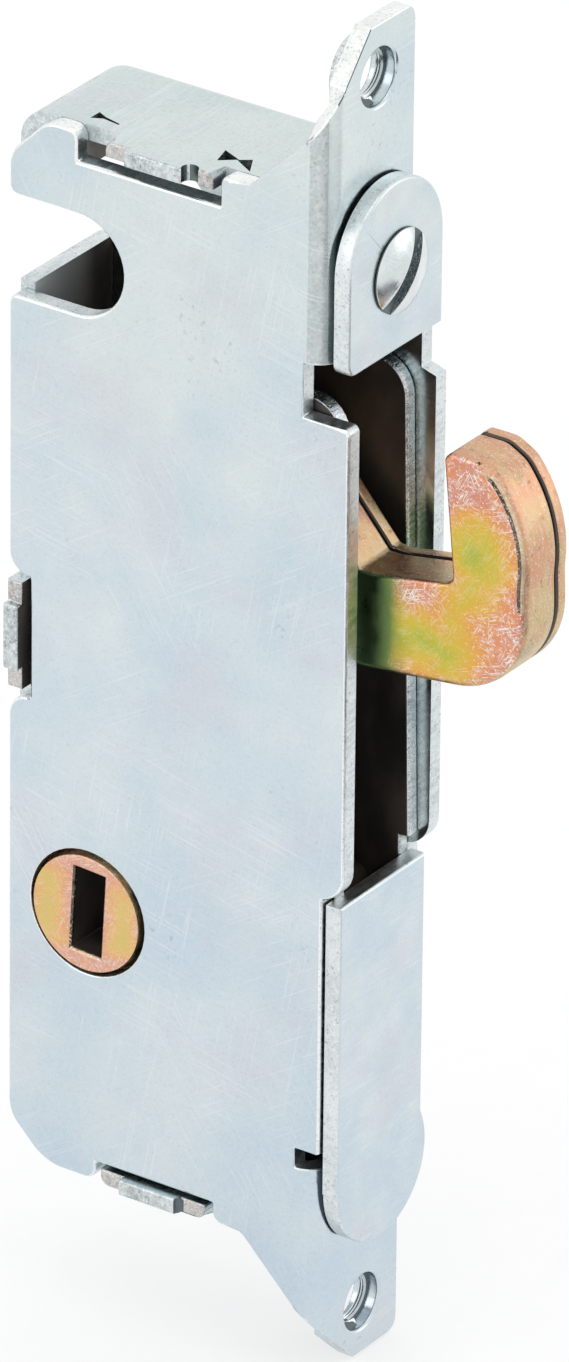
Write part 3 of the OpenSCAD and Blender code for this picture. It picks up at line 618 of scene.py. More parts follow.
class Bench:
    """Shared ways to copy, select, shape and paint meshes."""

    @staticmethod
    def hold(obj: Piece) -> None:
        """Make this the only selected object.

        Args:
            obj: The object to work on.
        """
        bpy.ops.object.select_all(action="DESELECT")
        obj.select_set(True)
        bpy.context.view_layer.objects.active = obj

    @staticmethod
    def copy_node(node: str, name: str, merge: float) -> Piece:
        """Copy a CAD node's mesh, merge its loose triangles and join its flat faces.

        Args:
            node: Name of the CAD node.
            name: Name of the copy.
            merge: Distance under which points are merged, in millimetres.

        Returns:
            The copy.
        """
        obj = bpy.data.objects.new(name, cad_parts[node].data.copy())
        bpy.context.scene.collection.objects.link(obj)
        Bench.hold(obj)
        bpy.ops.object.mode_set(mode="EDIT")
        bpy.ops.mesh.select_all(action="SELECT")
        bpy.ops.mesh.remove_doubles(threshold=merge * MM)
        bpy.ops.mesh.dissolve_limited(angle_limit=math.radians(0.4))
        bpy.ops.object.mode_set(mode="OBJECT")
        obj.data.materials.clear()
        return obj

    @staticmethod
    def round_edges(obj: Piece, test: Test, width: float, steps: int) -> None:
        """Round the edges whose two ends pass a test.

        Args:
            obj: The object to shape.
            test: Takes the two ends, in millimetres.
            width: Width of the rounding in millimetres.
            steps: Number of faces across the rounding.
        """
        Bench.hold(obj)
        bpy.ops.object.mode_set(mode="EDIT")
        bpy.ops.mesh.select_mode(type="EDGE")
        bpy.ops.mesh.select_all(action="DESELECT")
        bpy.ops.object.mode_set(mode="OBJECT")
        points = obj.data.vertices
        for edge in obj.data.edges:
            edge.select = test(points[edge.vertices[0]].co / MM, points[edge.vertices[1]].co / MM)
        bpy.ops.object.mode_set(mode="EDIT")
        bpy.ops.mesh.bevel(offset=width * MM, segments=steps, affect="EDGES")
        bpy.ops.object.mode_set(mode="OBJECT")

    @staticmethod
    def running(axis: int, at: Flat) -> Test:
        """A test for edges that run straight along one axis at one place.

        Args:
            axis: 0 for X, 1 for Y, 2 for Z.
            at: Place along the other two axes, in millimetres.

        Returns:
            The test.
        """
        others = [i for i in range(3) if i != axis]

        def test(a: Vector, b: Vector) -> bool:
            """Both ends are at the place, and apart along the axis."""
            near = all(math.hypot(p[others[0]] - at[0], p[others[1]] - at[1]) < 0.06 for p in (a, b))
            return near and abs(a[axis] - b[axis]) > 0.1

        return test

    @staticmethod
    def soften(obj: Piece, width: float, steps: int = 3, from_angle: float = 35.0,
               clamp: bool = True) -> None:
        """Break every sharp edge with a small rounding.

        Args:
            obj: The object to shape.
            width: Width of the rounding in millimetres.
            steps: Number of faces across the rounding.
            from_angle: Least angle between two faces, in degrees, at which their edge is rounded.
            clamp: Whether short edges make the rounding narrower.
        """
        Bench.hold(obj)
        soft = obj.modifiers.new("edges", "BEVEL")
        soft.width = width * MM
        soft.segments = steps
        soft.limit_method = "ANGLE"
        soft.angle_limit = math.radians(from_angle)
        soft.use_clamp_overlap = clamp
        bpy.ops.object.modifier_apply(modifier=soft.name)
        bpy.ops.object.shade_smooth_by_angle(angle=SMOOTH)
        flat = obj.modifiers.new("flat", "WEIGHTED_NORMAL")
        flat.keep_sharp = True
        bpy.ops.object.modifier_apply(modifier=flat.name)

    @staticmethod
    def cut(obj: Piece, tool: Piece, kind: str = "DIFFERENCE") -> None:
        """Cut a tool out of an object, or join it on, and drop the tool.

        Args:
            obj: The object to shape.
            tool: The closed mesh that cuts or joins.
            kind: Blender's name of the operation.
        """
        Bench.hold(obj)
        step = obj.modifiers.new("cut", "BOOLEAN")
        step.operation = kind
        step.solver = "EXACT"
        step.object = tool
        bpy.ops.object.modifier_apply(modifier=step.name)
        bpy.data.objects.remove(tool, do_unlink=True)

    @staticmethod
    def prism(name: str, outline: Sequence[Flat], low: float, high: float) -> Piece:
        """Add an upright prism over an outline.

        Args:
            name: Name of the prism.
            outline: Corners as X and Y in millimetres.
            low: Height of its lower end in millimetres.
            high: Height of its upper end in millimetres.

        Returns:
            The prism, with its place in its mesh.
        """
        bpy.ops.object.select_all(action="DESELECT")
        bpy.ops.mesh.primitive_circle_add(vertices=len(outline), radius=MM, fill_type="NGON")
        obj = bpy.context.active_object
        obj.name = obj.data.name = name
        for point, (x, y) in zip(obj.data.vertices, outline):
            point.co = Vector((x, y, low)) * MM
        bpy.ops.object.mode_set(mode="EDIT")
        bpy.ops.mesh.select_all(action="SELECT")
        bpy.ops.mesh.extrude_region_move(TRANSFORM_OT_translate={"value": (0, 0, (high - low) * MM)})
        bpy.ops.mesh.select_all(action="SELECT")
        bpy.ops.mesh.normals_make_consistent(inside=False)
        bpy.ops.object.mode_set(mode="OBJECT")
        return obj

    @staticmethod
    def paint(obj: Piece, materials: Sequence[Material], side: Sorter) -> None:
        """Give each face its finish.

        Args:
            obj: The object to paint.
            materials: One material for each side.
            side: Takes a face's centre, in millimetres, and its normal, and says which side it is on.
        """
        obj.data.materials.clear()
        for material in materials:
            obj.data.materials.append(material)
        for face in obj.data.polygons:
            face.material_index = side(face.center / MM, face.normal).value

    @staticmethod
    def dress(material: Material, *nodes: str) -> None:
        """Give one finish to CAD nodes that keep their own shape.

        Args:
            material: The finish.
            *nodes: Names of the nodes.
        """
        for node in nodes:
            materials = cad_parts[node].data.materials
            materials.clear()
            materials.append(material)
            log.info("%s: as it is, finished in %s", node, material.name)

    @staticmethod
    def fit(obj: Piece, body: Body, slot: Slot, *nodes: str) -> None:
        """Hang a finished piece on its body.

        Args:
            obj: The piece.
            body: The body that it moves with.
            slot: The finish that it stands for; not used.
            *nodes: The CAD nodes that it stands for.
        """
        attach(obj, body.value)
        if nodes:
            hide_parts(*nodes)
        log.info("%s: %d faces, on %s", obj.name, len(obj.data.polygons), body.value)


# The lock's sub-assemblies


@dataclass
class Case:
    """The two folded shells, their staked tabs and the threads of the fixing holes."""

    finishes: Finishes
    near_out: float = -5.8
    near_in: float = -4.4
    far_in: float = 4.59
    hole_z: float = 46.83
    hole_r: float = 2.085
    mouth: float = 0.28
    thread_pitch: float = 0.79375
    thread_depth: float = 0.43
    thread_bite: float = 0.06
    ridge_half: float = 0.45
    lap: float = 0.12
    run_out: float = 0.03
    collar_back: float = -2.2
    collar_reach: float = 3.2
    top: float = 39.4
    bottom: float = -40.7
    rear: float = -26.1
    stake_x: float = -13.7
    stake_reach: float = 4.4
    stake_r: float = 0.7
    stake_edge: float = 0.16
    stake_slot: Flat = (-20.6, -8.7)
    rear_slot: float = 5.0
    block_reach: float = 2.5
    roll: float = 0.28
    edge: float = 0.14
    rim_end: float = -2.6
    fold_r: float = 1.9
    fold_from: float = 24.0
    tab_from: float = 41.4
    inner_x: Flat = (-24.95, -0.5)
    inner_z: Flat = (-39.6, 38.3)
    corners: tuple[tuple[float, float, float], ...] = (
        (-26.1, 36.3, 0.8), (-23.0, 39.4, 0.8), (-26.1, -37.6, 1.0), (-23.0, -40.7, 1.4), (-26.1, 4.6, 1.7),
        (-26.1, -4.6, 1.7), (-26.1, 33.25, 0.7), (-26.1, 25.75, 0.7), (-18.6, -40.7, 1.0), (-8.8, -40.7, 0.9),
        (-20.5, 39.4, 0.8), (-8.8, 39.4, 0.7), (1.85, 23.4, 0.5))
    tears: tuple[tuple[Flat, ...], ...] = (
        ((-10.75, -2.35), (-10.3, -4.0), (-9.15, -3.05)),
        ((-9.25, -3.15), (-8.4, -2.5), (-7.5, -4.15)),
        ((-21.0, -3.55), (-21.0, -2.45), (-20.2, -2.85), (-18.8, -3.2), (-18.8, -3.35), (-20.2, -3.15)))
    tear_depth: float = 2.0
    web_back: float = -1.4
    hub: Flat = (-19.4, -19.8)
    hub_room: float = 5.2
    grooves: tuple[Place, ...] = ((-11.05, -6.05, 0.62), (-11.0, -6.45, 0.5))
    groove_half: float = 1.6

    def build(self) -> None:
        """Make and fit every piece of the case."""
        self.front_shell()
        self.rear_shell()
        for name, end in (("upper_thread", 1), ("lower_thread", -1)):
            self.thread(name, end * self.hole_z)
        Bench.dress(self.finishes.steel, "screw_nut", "carriage_guide_post", "spring_post",
                    "over_center_spring")

    def from_hole(self, place: Vector) -> float:
        """Distance of a place from the axis of the nearer fixing hole, in millimetres."""
        return math.hypot(place.y, abs(place.z) - self.hole_z)

    def at_mouth(self, a: Vector, b: Vector) -> bool:
        """Whether an edge lies on the mouth of a fixing hole.

        Args:
            a: One end, in millimetres.
            b: The other end.

        Returns:
            True on the mouth's rim.
        """
        return all(abs(p.x) < SAME and abs(self.from_hole(p) - self.hole_r) < NEAR for p in (a, b))

    def front_side(self, centre: Vector, normal: Vector) -> Side:
        """Which side of the front shell a face is on.

        Args:
            centre: The face's centre in millimetres.
            normal: The face's normal.

        Returns:
            The side.
        """
        if centre.x < self.web_back - NEAR and abs(centre.z) > self.hole_z - self.collar_reach:
            return Side.DEEP
        if self.from_hole(centre) < self.hole_r + self.mouth + NEAR:
            return Side.FACE
        in_fold = centre.x > -self.fold_r - 0.1
        slanted = normal.x > 0.1 and normal.y < -0.1 and abs(normal.z) < 0.1
        if in_fold and slanted and centre.x < 0 and abs(centre.z) > self.fold_from:
            return Side.WORKED if centre.z > 0 and normal.y < -0.62 else Side.FACE
        if in_fold and centre.z > self.tab_from and abs(normal.x) < 0.95:
            # Where the tab's slanted edge meets the web, its rounding takes the dark zinc: painted shade of
            # the edge's burr.
            return Side.INSIDE if centre.x > -0.2 and normal.x > 0.2 and normal.y < -0.2 else Side.RIM
        if centre.y < self.near_out + self.roll + SAME and -0.95 < normal.y < -0.3:
            return Side.RIM
        if normal.y < -0.75 or normal.x > 0.75:
            return Side.FACE if normal.x < 0.75 or abs(centre.x) < NEAR else Side.EDGE
        # Faces that look into the case take the dark zinc: painted shade.
        if normal.y > 0.8 or normal.x < -0.8:
            return Side.INSIDE if abs(centre.z) < self.top + 0.6 else Side.FACE
        return Side.RIM if normal.z > 0.2 and centre.z > self.top - 1.4 else Side.EDGE

    def on_near_rim(self, a: Vector, b: Vector) -> bool:
        """Whether an edge runs round the near side's outline, but not round the hub.

        Args:
            a: One end, in millimetres.
            b: The other end.

        Returns:
            True on the outline.
        """
        middle = (a + b) / 2
        hub = math.hypot(middle.x - self.hub[0], middle.z - self.hub[1]) < self.hub_room
        flat = all(abs(p.y - self.near_out) < SAME for p in (a, b))
        ear = min(a.x, b.x) > 0.0
        return flat and not hub and (ear or max(a.x, b.x) < self.rim_end)

    def front_shell(self) -> None:
        """The near side with the face, folded from one sheet."""
        obj = Bench.copy_node("front_case_shell", "front_shell", 0.07)
        Bench.round_edges(obj, self.at_mouth, self.mouth, 4)
        for x, z, radius in self.corners:
            Bench.round_edges(obj, Bench.running(1, (x, z)), radius, 6)
        Bench.round_edges(obj, self.on_near_rim, self.roll, 4)
        Bench.soften(obj, self.edge, clamp=False)
        f = self.finishes
        Bench.paint(obj, (f.zinc, f.sheared, f.shadowed, f.fold, f.burnished, f.hammered), self.front_side)
        Bench.fit(obj, Body.CASE, Slot.ZINC, "front_case_shell")

    def on_stake(self, a: Vector, b: Vector) -> bool:
        """Whether an edge is on the outer end of a staked tab."""
        return all(p.y < self.near_out - 0.1 for p in (a, b))

    def rear_side(self, centre: Vector, normal: Vector) -> Side:
        """Which side of the rear shell a face is on.

        Args:
            centre: The face's centre in millimetres.
            normal: The face's normal.

        Returns:
            The side.
        """
        at_end = abs(centre.z) > self.top - 4.4
        if centre.y < self.near_out + NEAR:
            along = abs(centre.x - self.stake_x) if at_end else abs(centre.z)
            groove = any(math.hypot(centre.x - x, centre.y - y) < r + NEAR for x, y, r in self.grooves)
            # The grooves beside the stakes take the dark zinc: painted shade.
            if groove and at_end:
                return Side.INSIDE
            return Side.WORKED if along > self.block_reach + 0.1 else Side.RIM
        if normal.y < -0.8:
            beside, end = self.stake_slot
            # The wall's edge in the gap beside the upper stake is painted near-black: painted shade.
            if at_end and centre.z > 0 and beside < centre.x < self.stake_x - self.stake_reach:
                return Side.GAP
            # Edges seen down the slots take the dark zinc: painted shade.
            in_slot = abs(centre.z) < self.rear_slot or (at_end and beside < centre.x < end)
            return Side.FACE if centre.y > 0 else Side.INSIDE if in_slot else Side.EDGE
        outer = centre.y > self.far_in + 1.0 or abs(centre.z) > self.top - 0.1 or centre.x < self.rear + 0.1
        if outer or normal.y > 0.3:
            return Side.FACE
        inner = self.inner_x[0] < centre.x < self.inner_x[1] and self.inner_z[0] < centre.z < self.inner_z[1]
        if not inner or centre.y <= self.near_in:
            return Side.EDGE
        # Inner faces take the dark zinc as painted shade; the rear wall's inner face takes painted light and
        # shade near the notch.
        return Side.DEEP if normal.x > 0.8 and centre.x < self.inner_x[0] + 0.45 else Side.INSIDE

    def rear_shell(self) -> None:
        """The far side with its three walls and staked tabs."""
        obj = Bench.copy_node("rear_case_shell", "rear_shell", 0.03)
        for side in (-1, 1):
            end = self.stake_x + side * self.stake_reach
            for z in (self.top, self.bottom):
                Bench.round_edges(obj, Bench.running(1, (end, z)), self.stake_r, 5)
        Bench.round_edges(obj, self.on_stake, self.stake_edge, 3)
        for outline in self.tears:
            Bench.cut(obj, Bench.prism("tear", outline, self.top - self.tear_depth, self.top + 0.5))
        turns = [math.tau * i / 20 for i in range(20)]
        for end, (x, y, radius) in zip((self.top, self.bottom), self.grooves):
            ring = [(x + radius * math.cos(turn), y + radius * math.sin(turn)) for turn in turns]
            Bench.cut(obj, Bench.prism("groove", ring, end - self.groove_half, end + self.groove_half))
        Bench.soften(obj, self.edge)
        f = self.finishes
        Bench.paint(obj, (f.wall, f.sheared, f.shadowed, f.peened, f.staked, f.notch_light_and_shade, f.inside_shade),
                    self.rear_side)
        Bench.fit(obj, Body.CASE, Slot.ZINC, "rear_case_shell")

    def thread(self, name: str, height: float) -> None:
        """The thread in one fixing hole: a ridge wound round the bore.

        Args:
            name: Name of the piece.
            height: Height of the hole in millimetres.
        """
        root = self.hole_r + self.thread_bite
        crest = self.hole_r - self.thread_depth
        flank = crest + 0.5 * self.thread_depth
        lap = crest + self.lap
        profile = (
            (root, -self.ridge_half), (root, self.ridge_half), (flank, 0.34), (crest, 0.26), (lap, 0.13),
            (crest, 0.0), (lap, -0.13), (crest, -0.26), (flank, -0.34))
        half = self.ridge_half * self.thread_pitch
        back, front = self.collar_back + half, -self.mouth - half
        turns = (front - back) / self.thread_pitch
        bpy.ops.object.select_all(action="DESELECT")
        bpy.ops.mesh.primitive_circle_add(vertices=len(profile), radius=MM, fill_type="NOTHING")
        obj = bpy.context.active_object
        obj.name = obj.data.name = name
        for point, (radius, across) in zip(obj.data.vertices, profile):
            point.co = Vector((across * self.thread_pitch, 0, radius)) * MM
        wind = obj.modifiers.new("wind", "SCREW")
        wind.axis = "X"
        wind.angle = math.tau * turns
        wind.screw_offset = (front - back) * MM
        wind.steps = wind.render_steps = round(48 * turns)
        wind.use_merge_vertices = False
        bpy.ops.object.modifier_apply(modifier=wind.name)
        for point in obj.data.vertices:
            done = point.co.x / MM / (front - back)
            grown = max(0.0, min(1.0, done * turns / self.run_out, (1 - done) * turns / self.run_out))
            radius = math.hypot(point.co.y, point.co.z)
            shrunk = (root * MM + (radius - root * MM) * grown) / radius
            point.co.y, point.co.z = point.co.y * shrunk, point.co.z * shrunk
        bpy.ops.object.mode_set(mode="EDIT")
        bpy.ops.mesh.select_all(action="DESELECT")
        bpy.ops.mesh.select_mode(type="EDGE")
        bpy.ops.mesh.select_non_manifold(extend=False)
        bpy.ops.mesh.edge_face_add()
        bpy.ops.mesh.select_all(action="SELECT")
        bpy.ops.mesh.normals_make_consistent(inside=False)
        bpy.ops.object.mode_set(mode="OBJECT")
        obj.location = Vector((back, 0, height)) * MM
        bpy.ops.object.transform_apply(location=True, rotation=True, scale=True)
        bpy.ops.object.shade_smooth_by_angle(angle=SMOOTH)

        def side(centre: Vector, normal: Vector) -> Side:
            """The thread's roots and the backs of its laps are painted dark, as shade."""
            away = math.hypot(centre.y, centre.z - height)
            return Side.EDGE if away > flank + SAME or normal.x < -0.2 else Side.FACE

        Bench.paint(obj, (self.finishes.polished, self.finishes.shadowed), side)
        Bench.fit(obj, Body.CASE, Slot.ZINC)


@dataclass
class Carriage:
    """The sliding carriage: face plates, side plates, spacers and the hook's pivot."""

    finishes: Finishes
    corner: Flat = (-5.35, 26.95)
    corner_r: float = 0.9
    plate_x: float = 1.5
    plate_edge: float = 0.22
    back_edge: float = 0.05
    sheet_edge: float = 0.42

    def build(self) -> None:
        """Make and fit every piece of the carriage."""
        for node in ("upper_face_plate", "lower_face_plate"):
            self.face_plate(node)
        for node in ("carriage_near_plate", "carriage_far_plate"):
            self.side_plate(node)
        # Spacers and pivot stud are painted dark as shade.
        Bench.dress(self.finishes.inside_shade, "carriage_spacers", "hook_pivot_stud")

    def face_plate(self, node: str) -> None:
        """One face plate with rounded edges.

        Args:
            node: Name of the CAD node.
        """
        obj = Bench.copy_node(node, node.replace("_face_plate", "_plate"), 0.03)
        Bench.round_edges(obj, Bench.running(0, self.corner), self.corner_r, 6)
        Bench.round_edges(obj, lambda a, b: min(a.x, b.x) > self.plate_x - SAME, self.plate_edge, 4)
        Bench.soften(obj, self.back_edge, 2)

        def side(centre: Vector, normal: Vector) -> Side:
            """The front is satin, the back painted dark as shade and the rim trimmed."""
            back = normal.x < -0.7 or (normal.x <= 0.7 and centre.x < 0.0)
            return Side.FACE if normal.x > 0.7 else Side.INSIDE if back else Side.EDGE

        Bench.paint(obj, (self.finishes.satin, self.finishes.trimmed, self.finishes.shadowed), side)
        Bench.fit(obj, Body.CARRIAGE, Slot.ZINC, node)

    def side_plate(self, node: str) -> None:
        """One side plate with a bright rim and faces painted dark as shade.

        Args:
            node: Name of the CAD node.
        """
        obj = Bench.copy_node(node, node.replace("carriage_", "").replace("_plate", "_slide"), 0.03)
        Bench.soften(obj, self.sheet_edge, 3)

        def side(centre: Vector, normal: Vector) -> Side:
            """Both faces are painted dark as shade and the rim is bright."""
            return Side.INSIDE if abs(normal.y) > 0.92 else Side.EDGE

        Bench.paint(obj, (self.finishes.satin, self.finishes.hammered, self.finishes.inside_shade), side)
        Bench.fit(obj, Body.CARRIAGE, Slot.ZINC, node)


@dataclass
class AdjustingScrew:
    """The slotted screw that moves the carriage, with its retaining ring."""

    finishes: Finishes
    edge: float = 0.07
    centre: Flat = (0.6, 32.8)
    slot_turn: float = 38.0
    slot_half: float = 0.6
    plate_x: float = 1.5
    rim: float = 0.15

    def across(self, place: Vector) -> float:
        """Distance of a place from the middle of the slot, in millimetres."""
        turn = math.radians(self.slot_turn)
        return (place.y - self.centre[0]) * math.cos(turn) - (place.z - self.centre[1]) * math.sin(turn)

    def side(self, centre: Vector, normal: Vector) -> Side:
        """Which side of the screw a face is on. The slot's floor and the gap round the head are painted dark
        as shade.

        Args:
            centre: The face's centre in millimetres.
            normal: The face's normal.

        Returns:
            The side.
        """
        if centre.x < self.plate_x - 0.1:
            return Side.EDGE
        low = centre.x < self.plate_x + self.rim + 0.03
        slot = abs(self.across(centre)) < self.slot_half + SAME
        if slot and normal.x < 0.2:
            return Side.WORKED
        # The slot's floor and the head's low flank take the dark zinc: painted shade.
        return Side.INSIDE if low and (slot or normal.x < 0.3) else Side.FACE

    def build(self) -> None:
        """Make and fit the screw and finish its ring."""
        obj = Bench.copy_node("adjusting_screw", "slotted_screw", 0.035)
        Bench.soften(obj, self.edge, 2, 40)
        f = self.finishes
        Bench.paint(obj, (f.polished, f.sheared, f.shadowed, f.hammered), self.side)
        Bench.fit(obj, Body.SCREW, Slot.ZINC, "adjusting_screw")
        Bench.dress(f.steel, "screw_retaining_ring")


@dataclass
class Hook:
    """The hook's two laminations with their drive pin and rivet."""

    finishes: Finishes
    near_y: float = -3.0
    far_y: float = 0.9
    nose_x: float = 9.0
    nose_top: float = 22.4
    arm_x: float = 1.9
    arm_low: float = 6.0
    roll: float = 0.8
    burr_end: float = 12.4
    smooth: float = 0.4
    main_edge: float = 0.3
    cover_edge: float = 0.25

    def build(self) -> None:
        """Make and fit both laminations and finish their pins."""
        f = self.finishes
        for node, name, edge in (("hook_main_plate", "hook_thick", self.main_edge),
                                 ("hook_cover_plate", "hook_thin", self.cover_edge)):
            obj = Bench.copy_node(node, name, 0.05)
            Bench.round_edges(obj, self.across_nose, self.smooth, 3)
            Bench.round_edges(obj, self.on_nose, self.roll, 5)
            Bench.soften(obj, edge, 4, clamp=False)
            Bench.paint(obj, (f.rainbow, f.copper, f.inside_shade, f.burr_shade, f.chips_and_highlight), self.side)
            Bench.fit(obj, Body.HOOK, Slot.DICHROMATE, node)
        Bench.dress(f.steel, "hook_drive_pin", "hook_rivet")

    def across_nose(self, a: Vector, b: Vector) -> bool:
        """Whether an edge runs across the hook's nose, so that rounding it smooths the outline."""
        return min(a.x, b.x) > self.nose_x and abs(a.y - b.y) > 0.5 * (a - b).length

    def on_nose(self, a: Vector, b: Vector) -> bool:
        """Whether an edge runs along the near side of the nose or under the arm, where it is rolled over.

        Args:
            a: One end, in millimetres.
            b: The other end.

        Returns:
            True on the rolled edge.
        """
        near = all(abs(p.y - self.near_y) < SAME and p.z < self.nose_top for p in (a, b))
        nose = [p.x > self.nose_x + 0.2 for p in (a, b)]
        under = [p.x > self.arm_x and p.z < self.arm_low for p in (a, b)]
        return near and all(n or u for n, u in zip(nose, under))

    def side(self, centre: Vector, normal: Vector) -> Side:
        """Which side of a lamination a face is on.

        Args:
            centre: The face's centre in millimetres.
            normal: The face's normal.

        Returns:
            The side.
        """
        # The faces where the two laminations meet are painted dark: painted shade in the gap between them.
        if self.far_y - 0.3 < centre.y < self.far_y + 0.5 and abs(normal.y) > 0.3:
            return Side.INSIDE
        rolled = centre.y < self.near_y + self.roll and centre.x > self.nose_x and normal.x > 0.15
        if rolled and self.burr_end < centre.z < self.nose_top - 0.6:
            # Along the rolled nose, one band of the rounding is painted dark, painted shade of the burr, and
            # the next bright, chips with painted highlight.
            if -0.95 < normal.y < -0.8:
                return Side.WORKED
            if -0.8 < normal.y < -0.6:
                return Side.RIM
        return Side.FACE if abs(normal.y) > 0.55 else Side.EDGE


@dataclass
class Hub:
    """The keyed hub with its lever, link and spring stud."""

    finishes: Finishes
    edge: float = 0.18
    centre: Flat = (-19.4, -19.8)
    key_reach: float = 3.5
    journal_r: float = 4.7
    shown_r: float = 4.4
    sag: Flat = (-0.16, -0.13)
    end_y: float = -5.7
    key_edge: float = 0.28

    def build(self) -> None:
        """Make and fit the hub and finish the drive behind it."""
        f = self.finishes
        obj = Bench.copy_node("key_hub", "keyed_hub", 0.03)
        self.worn_journal(obj)
        Bench.round_edges(obj, self.on_keyway, self.key_edge, 3)
        Bench.soften(obj, self.edge)
        Bench.paint(obj, (f.gold, f.copper, f.inside_shade, f.burr_shade, f.chips_and_highlight), self.side)
        Bench.fit(obj, Body.HUB, Slot.DICHROMATE, "key_hub")
        Bench.dress(f.steel, "hub_lever", "hub_spacer", "crank_pin", "spring_stud", "link_clip", "drive_link")

    def away(self, place: Vector) -> float:
        """Distance of a place from the hub's axis, in millimetres."""
        return math.hypot(place.x - self.centre[0], place.z - self.centre[1])

    def worn_journal(self, obj: Piece) -> None:
        """Bring in the journal's outer rim, which shows a dark gap round it.

        Args:
            obj: The hub.
        """
        middle = Vector((self.centre[0], 0, self.centre[1]))
        for point in obj.data.vertices:
            place = point.co / MM
            out = Vector((place.x, 0, place.z)) - middle
            if place.y < self.end_y and abs(out.length - self.journal_r) < NEAR:
                out = out.normalized() * self.shown_r + Vector((self.sag[0], 0, self.sag[1]))
                point.co = Vector((middle.x + out.x, place.y, middle.z + out.z)) * MM

    def on_keyway(self, a: Vector, b: Vector) -> bool:
        """Whether an edge runs round the keyway's shown end."""
        return all(p.y < self.end_y and self.away(p) < self.key_reach + 0.1 for p in (a, b))

    def side(self, centre: Vector, normal: Vector) -> Side:
        """Which side of the hub a face is on.

        Args:
            centre: The face's centre in millimetres.
            normal: The face's normal.

        Returns:
            The side.
        """
        away = self.away(centre)
        # Round the keyway's mouth, the bevel facing up has chips with painted highlight and the bevel facing
        # forward has painted shade.
        if centre.y < self.end_y + self.key_edge and away < self.key_reach + 0.4 and 0.1 < -normal.y < 0.95:
            return Side.RIM if normal.z > 0.3 else Side.WORKED if normal.x > 0.3 else Side.FACE
        if abs(normal.y) > 0.4:
            return Side.FACE
        # Inside the keyway: painted shade.
        return Side.INSIDE if away < self.key_reach else Side.EDGE


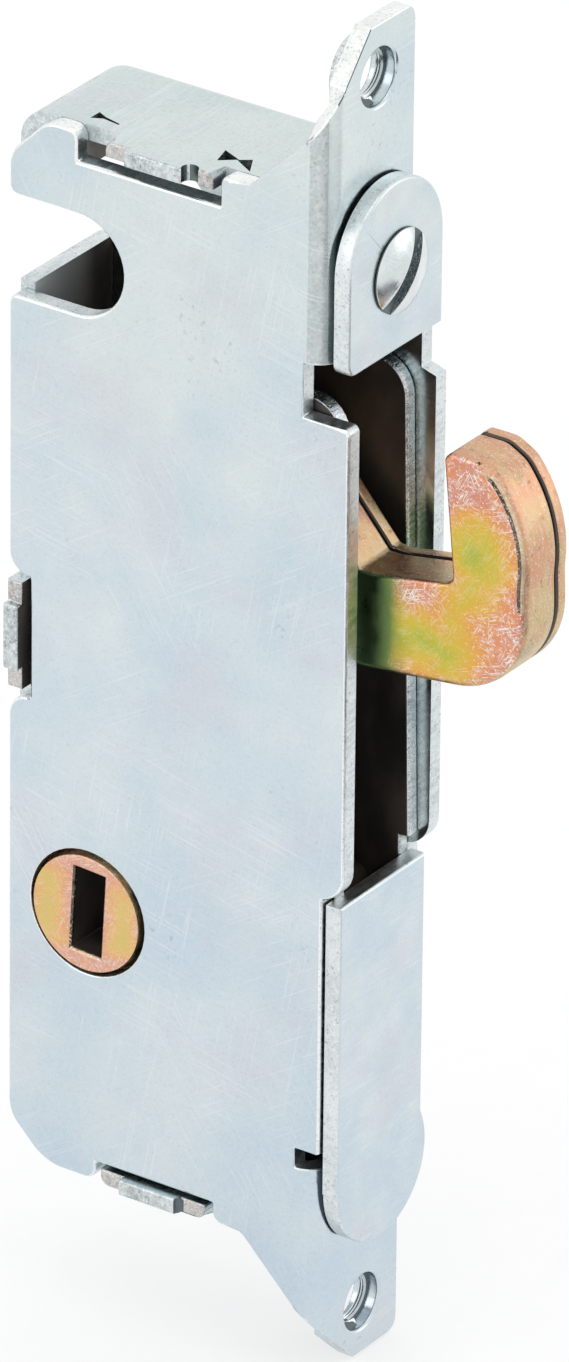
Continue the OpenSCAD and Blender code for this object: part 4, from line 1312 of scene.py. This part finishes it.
@dataclass
class Studio:
    """The floor, the light and the camera."""

    eye: Place = (0.497594, -0.733523, 0.463013)
    right: Place = (0.82090182, 0.57098606, 0.009753)
    up: Place = (-0.27077898, 0.37414656, 0.88695721)
    back: Place = (0.50279115, -0.7307457, 0.46174861)
    lens: float = 389.73
    floor_size: float = 8.0
    card_out: float = 0.122
    card_turn: float = -5.0
    card_size: Flat = (0.18, 0.07)
    paper: float = 0.6
    lamps: tuple[tuple[str, Place, float, float], ...] = (
        ("left_lamp", (-0.55, -0.9, 0.45), 0.7, 1.0), ("right_lamp", (0.75, 0.75, 0.25), 0.6, 0.8),
        ("top_lamp", (0.1, -0.1, 1.1), 0.8, 1.0))

    def build(self) -> None:
        """Set the stage."""
        self.floor()
        self.world()
        for lamp in self.lamps:
            self.lamp(*lamp)
        self.card()
        self.camera()
        bpy.context.scene.view_settings.view_transform = "Standard"

    def floor(self) -> None:
        """A plain white floor under the lock."""
        bpy.ops.object.select_all(action="DESELECT")
        bpy.ops.mesh.primitive_plane_add(size=self.floor_size, location=(0, 0, CAD_BOX[0].z - 0.0002))
        floor = bpy.context.active_object
        floor.name = "floor"
        g = Graph("floor_paper")
        grain = g.noise(3.0, 3.0)
        colour = g.blend(g.window(grain, 0.3, 0.7), (0.93, 0.93, 0.93), (0.95, 0.95, 0.95))
        shader = g.add("ShaderNodeBsdfPrincipled", Base_Color=colour, Roughness=0.9)
        glow = g.add("ShaderNodeEmission", Color=(1, 1, 1, 1), Strength=1.0)
        path = g.add("ShaderNodeLightPath").outputs
        mirrored = g.maths("MAXIMUM", path["Is Glossy Ray"], path["Is Transmission Ray"])
        seen = g.maths("MAXIMUM", path["Is Camera Ray"], mirrored)
        mix = g.add("ShaderNodeMixShader", Fac=g.maths("MULTIPLY", seen, self.paper))
        g.tree.links.new(shader.outputs[0], mix.inputs[1])
        g.tree.links.new(glow.outputs[0], mix.inputs[2])
        g.add("ShaderNodeOutputMaterial", Surface=mix.outputs[0])
        floor.data.materials.append(g.material)

    def card(self) -> None:
        """A dark card on the floor in front of the lock, for the fold beside the upper plate to reflect."""
        bpy.ops.object.select_all(action="DESELECT")
        bpy.ops.mesh.primitive_plane_add(size=1)
        card = bpy.context.active_object
        card.name = "dark_card"
        wide, deep = self.card_size
        for point in card.data.vertices:
            point.co = (self.card_out + point.co.x * deep, point.co.y * wide, CAD_BOX[0].z + 0.001)
        card.rotation_euler = (0, 0, math.radians(self.card_turn))
        g = Graph("dark_card")
        colour = g.blend(g.window(g.noise(6.0, 3.0), 0.3, 0.7), (0.02, 0.022, 0.025), (0.03, 0.032, 0.035))
        shader = g.add("ShaderNodeBsdfPrincipled", Base_Color=colour, Roughness=0.9)
        g.add("ShaderNodeOutputMaterial", Surface=shader.outputs[0])
        card.data.materials.append(g.material)
        card.visible_camera = card.visible_diffuse = card.visible_shadow = False

    @staticmethod
    def world() -> None:
        """White all round, as light and as background."""
        world = bpy.data.worlds.new("studio")
        world.use_nodes = True
        bpy.context.scene.world = world
        nodes = world.node_tree.nodes
        nodes.clear()
        white = nodes.new("ShaderNodeBackground")
        white.inputs["Color"].default_value = (1, 1, 1, 1)
        world.node_tree.links.new(white.outputs[0], nodes.new("ShaderNodeOutputWorld").inputs["Surface"])

    @staticmethod
    def lamp(name: str, place: Place, size: float, power: float) -> None:
        """A square soft lamp that looks at the lock.

        Args:
            name: Name of the lamp.
            place: Where it stands, in metres.
            size: Side of the square, in metres.
            power: Power in watts.
        """
        data = bpy.data.lights.new(name, "AREA")
        data.size = size
        data.energy = power
        obj = bpy.data.objects.new(name, data)
        bpy.context.scene.collection.objects.link(obj)
        obj.location = place
        obj.rotation_euler = Vector(place).to_track_quat("Z", "Y").to_euler()

    def camera(self) -> None:
        """The camera, where the photograph was taken from."""
        data = bpy.data.cameras.new("camera")
        data.lens = self.lens
        data.sensor_width = 36
        data.clip_start, data.clip_end = 0.01, 20
        obj = bpy.data.objects.new("camera", data)
        bpy.context.scene.collection.objects.link(obj)
        turn = Matrix((self.right, self.up, self.back)).transposed()
        obj.matrix_world = Matrix.Translation(self.eye) @ turn.to_4x4()
        bpy.context.scene.camera = obj


def main() -> None:
    """Build the lock and its studio."""
    logging.basicConfig(level=logging.INFO, format="%(name)s: %(message)s")
    finishes = Finishes()
    for assembly in (Case, Carriage, AdjustingScrew, Hook, Hub):
        assembly(finishes).build()
    Studio().build()


if __name__ == "__main__":
    main()
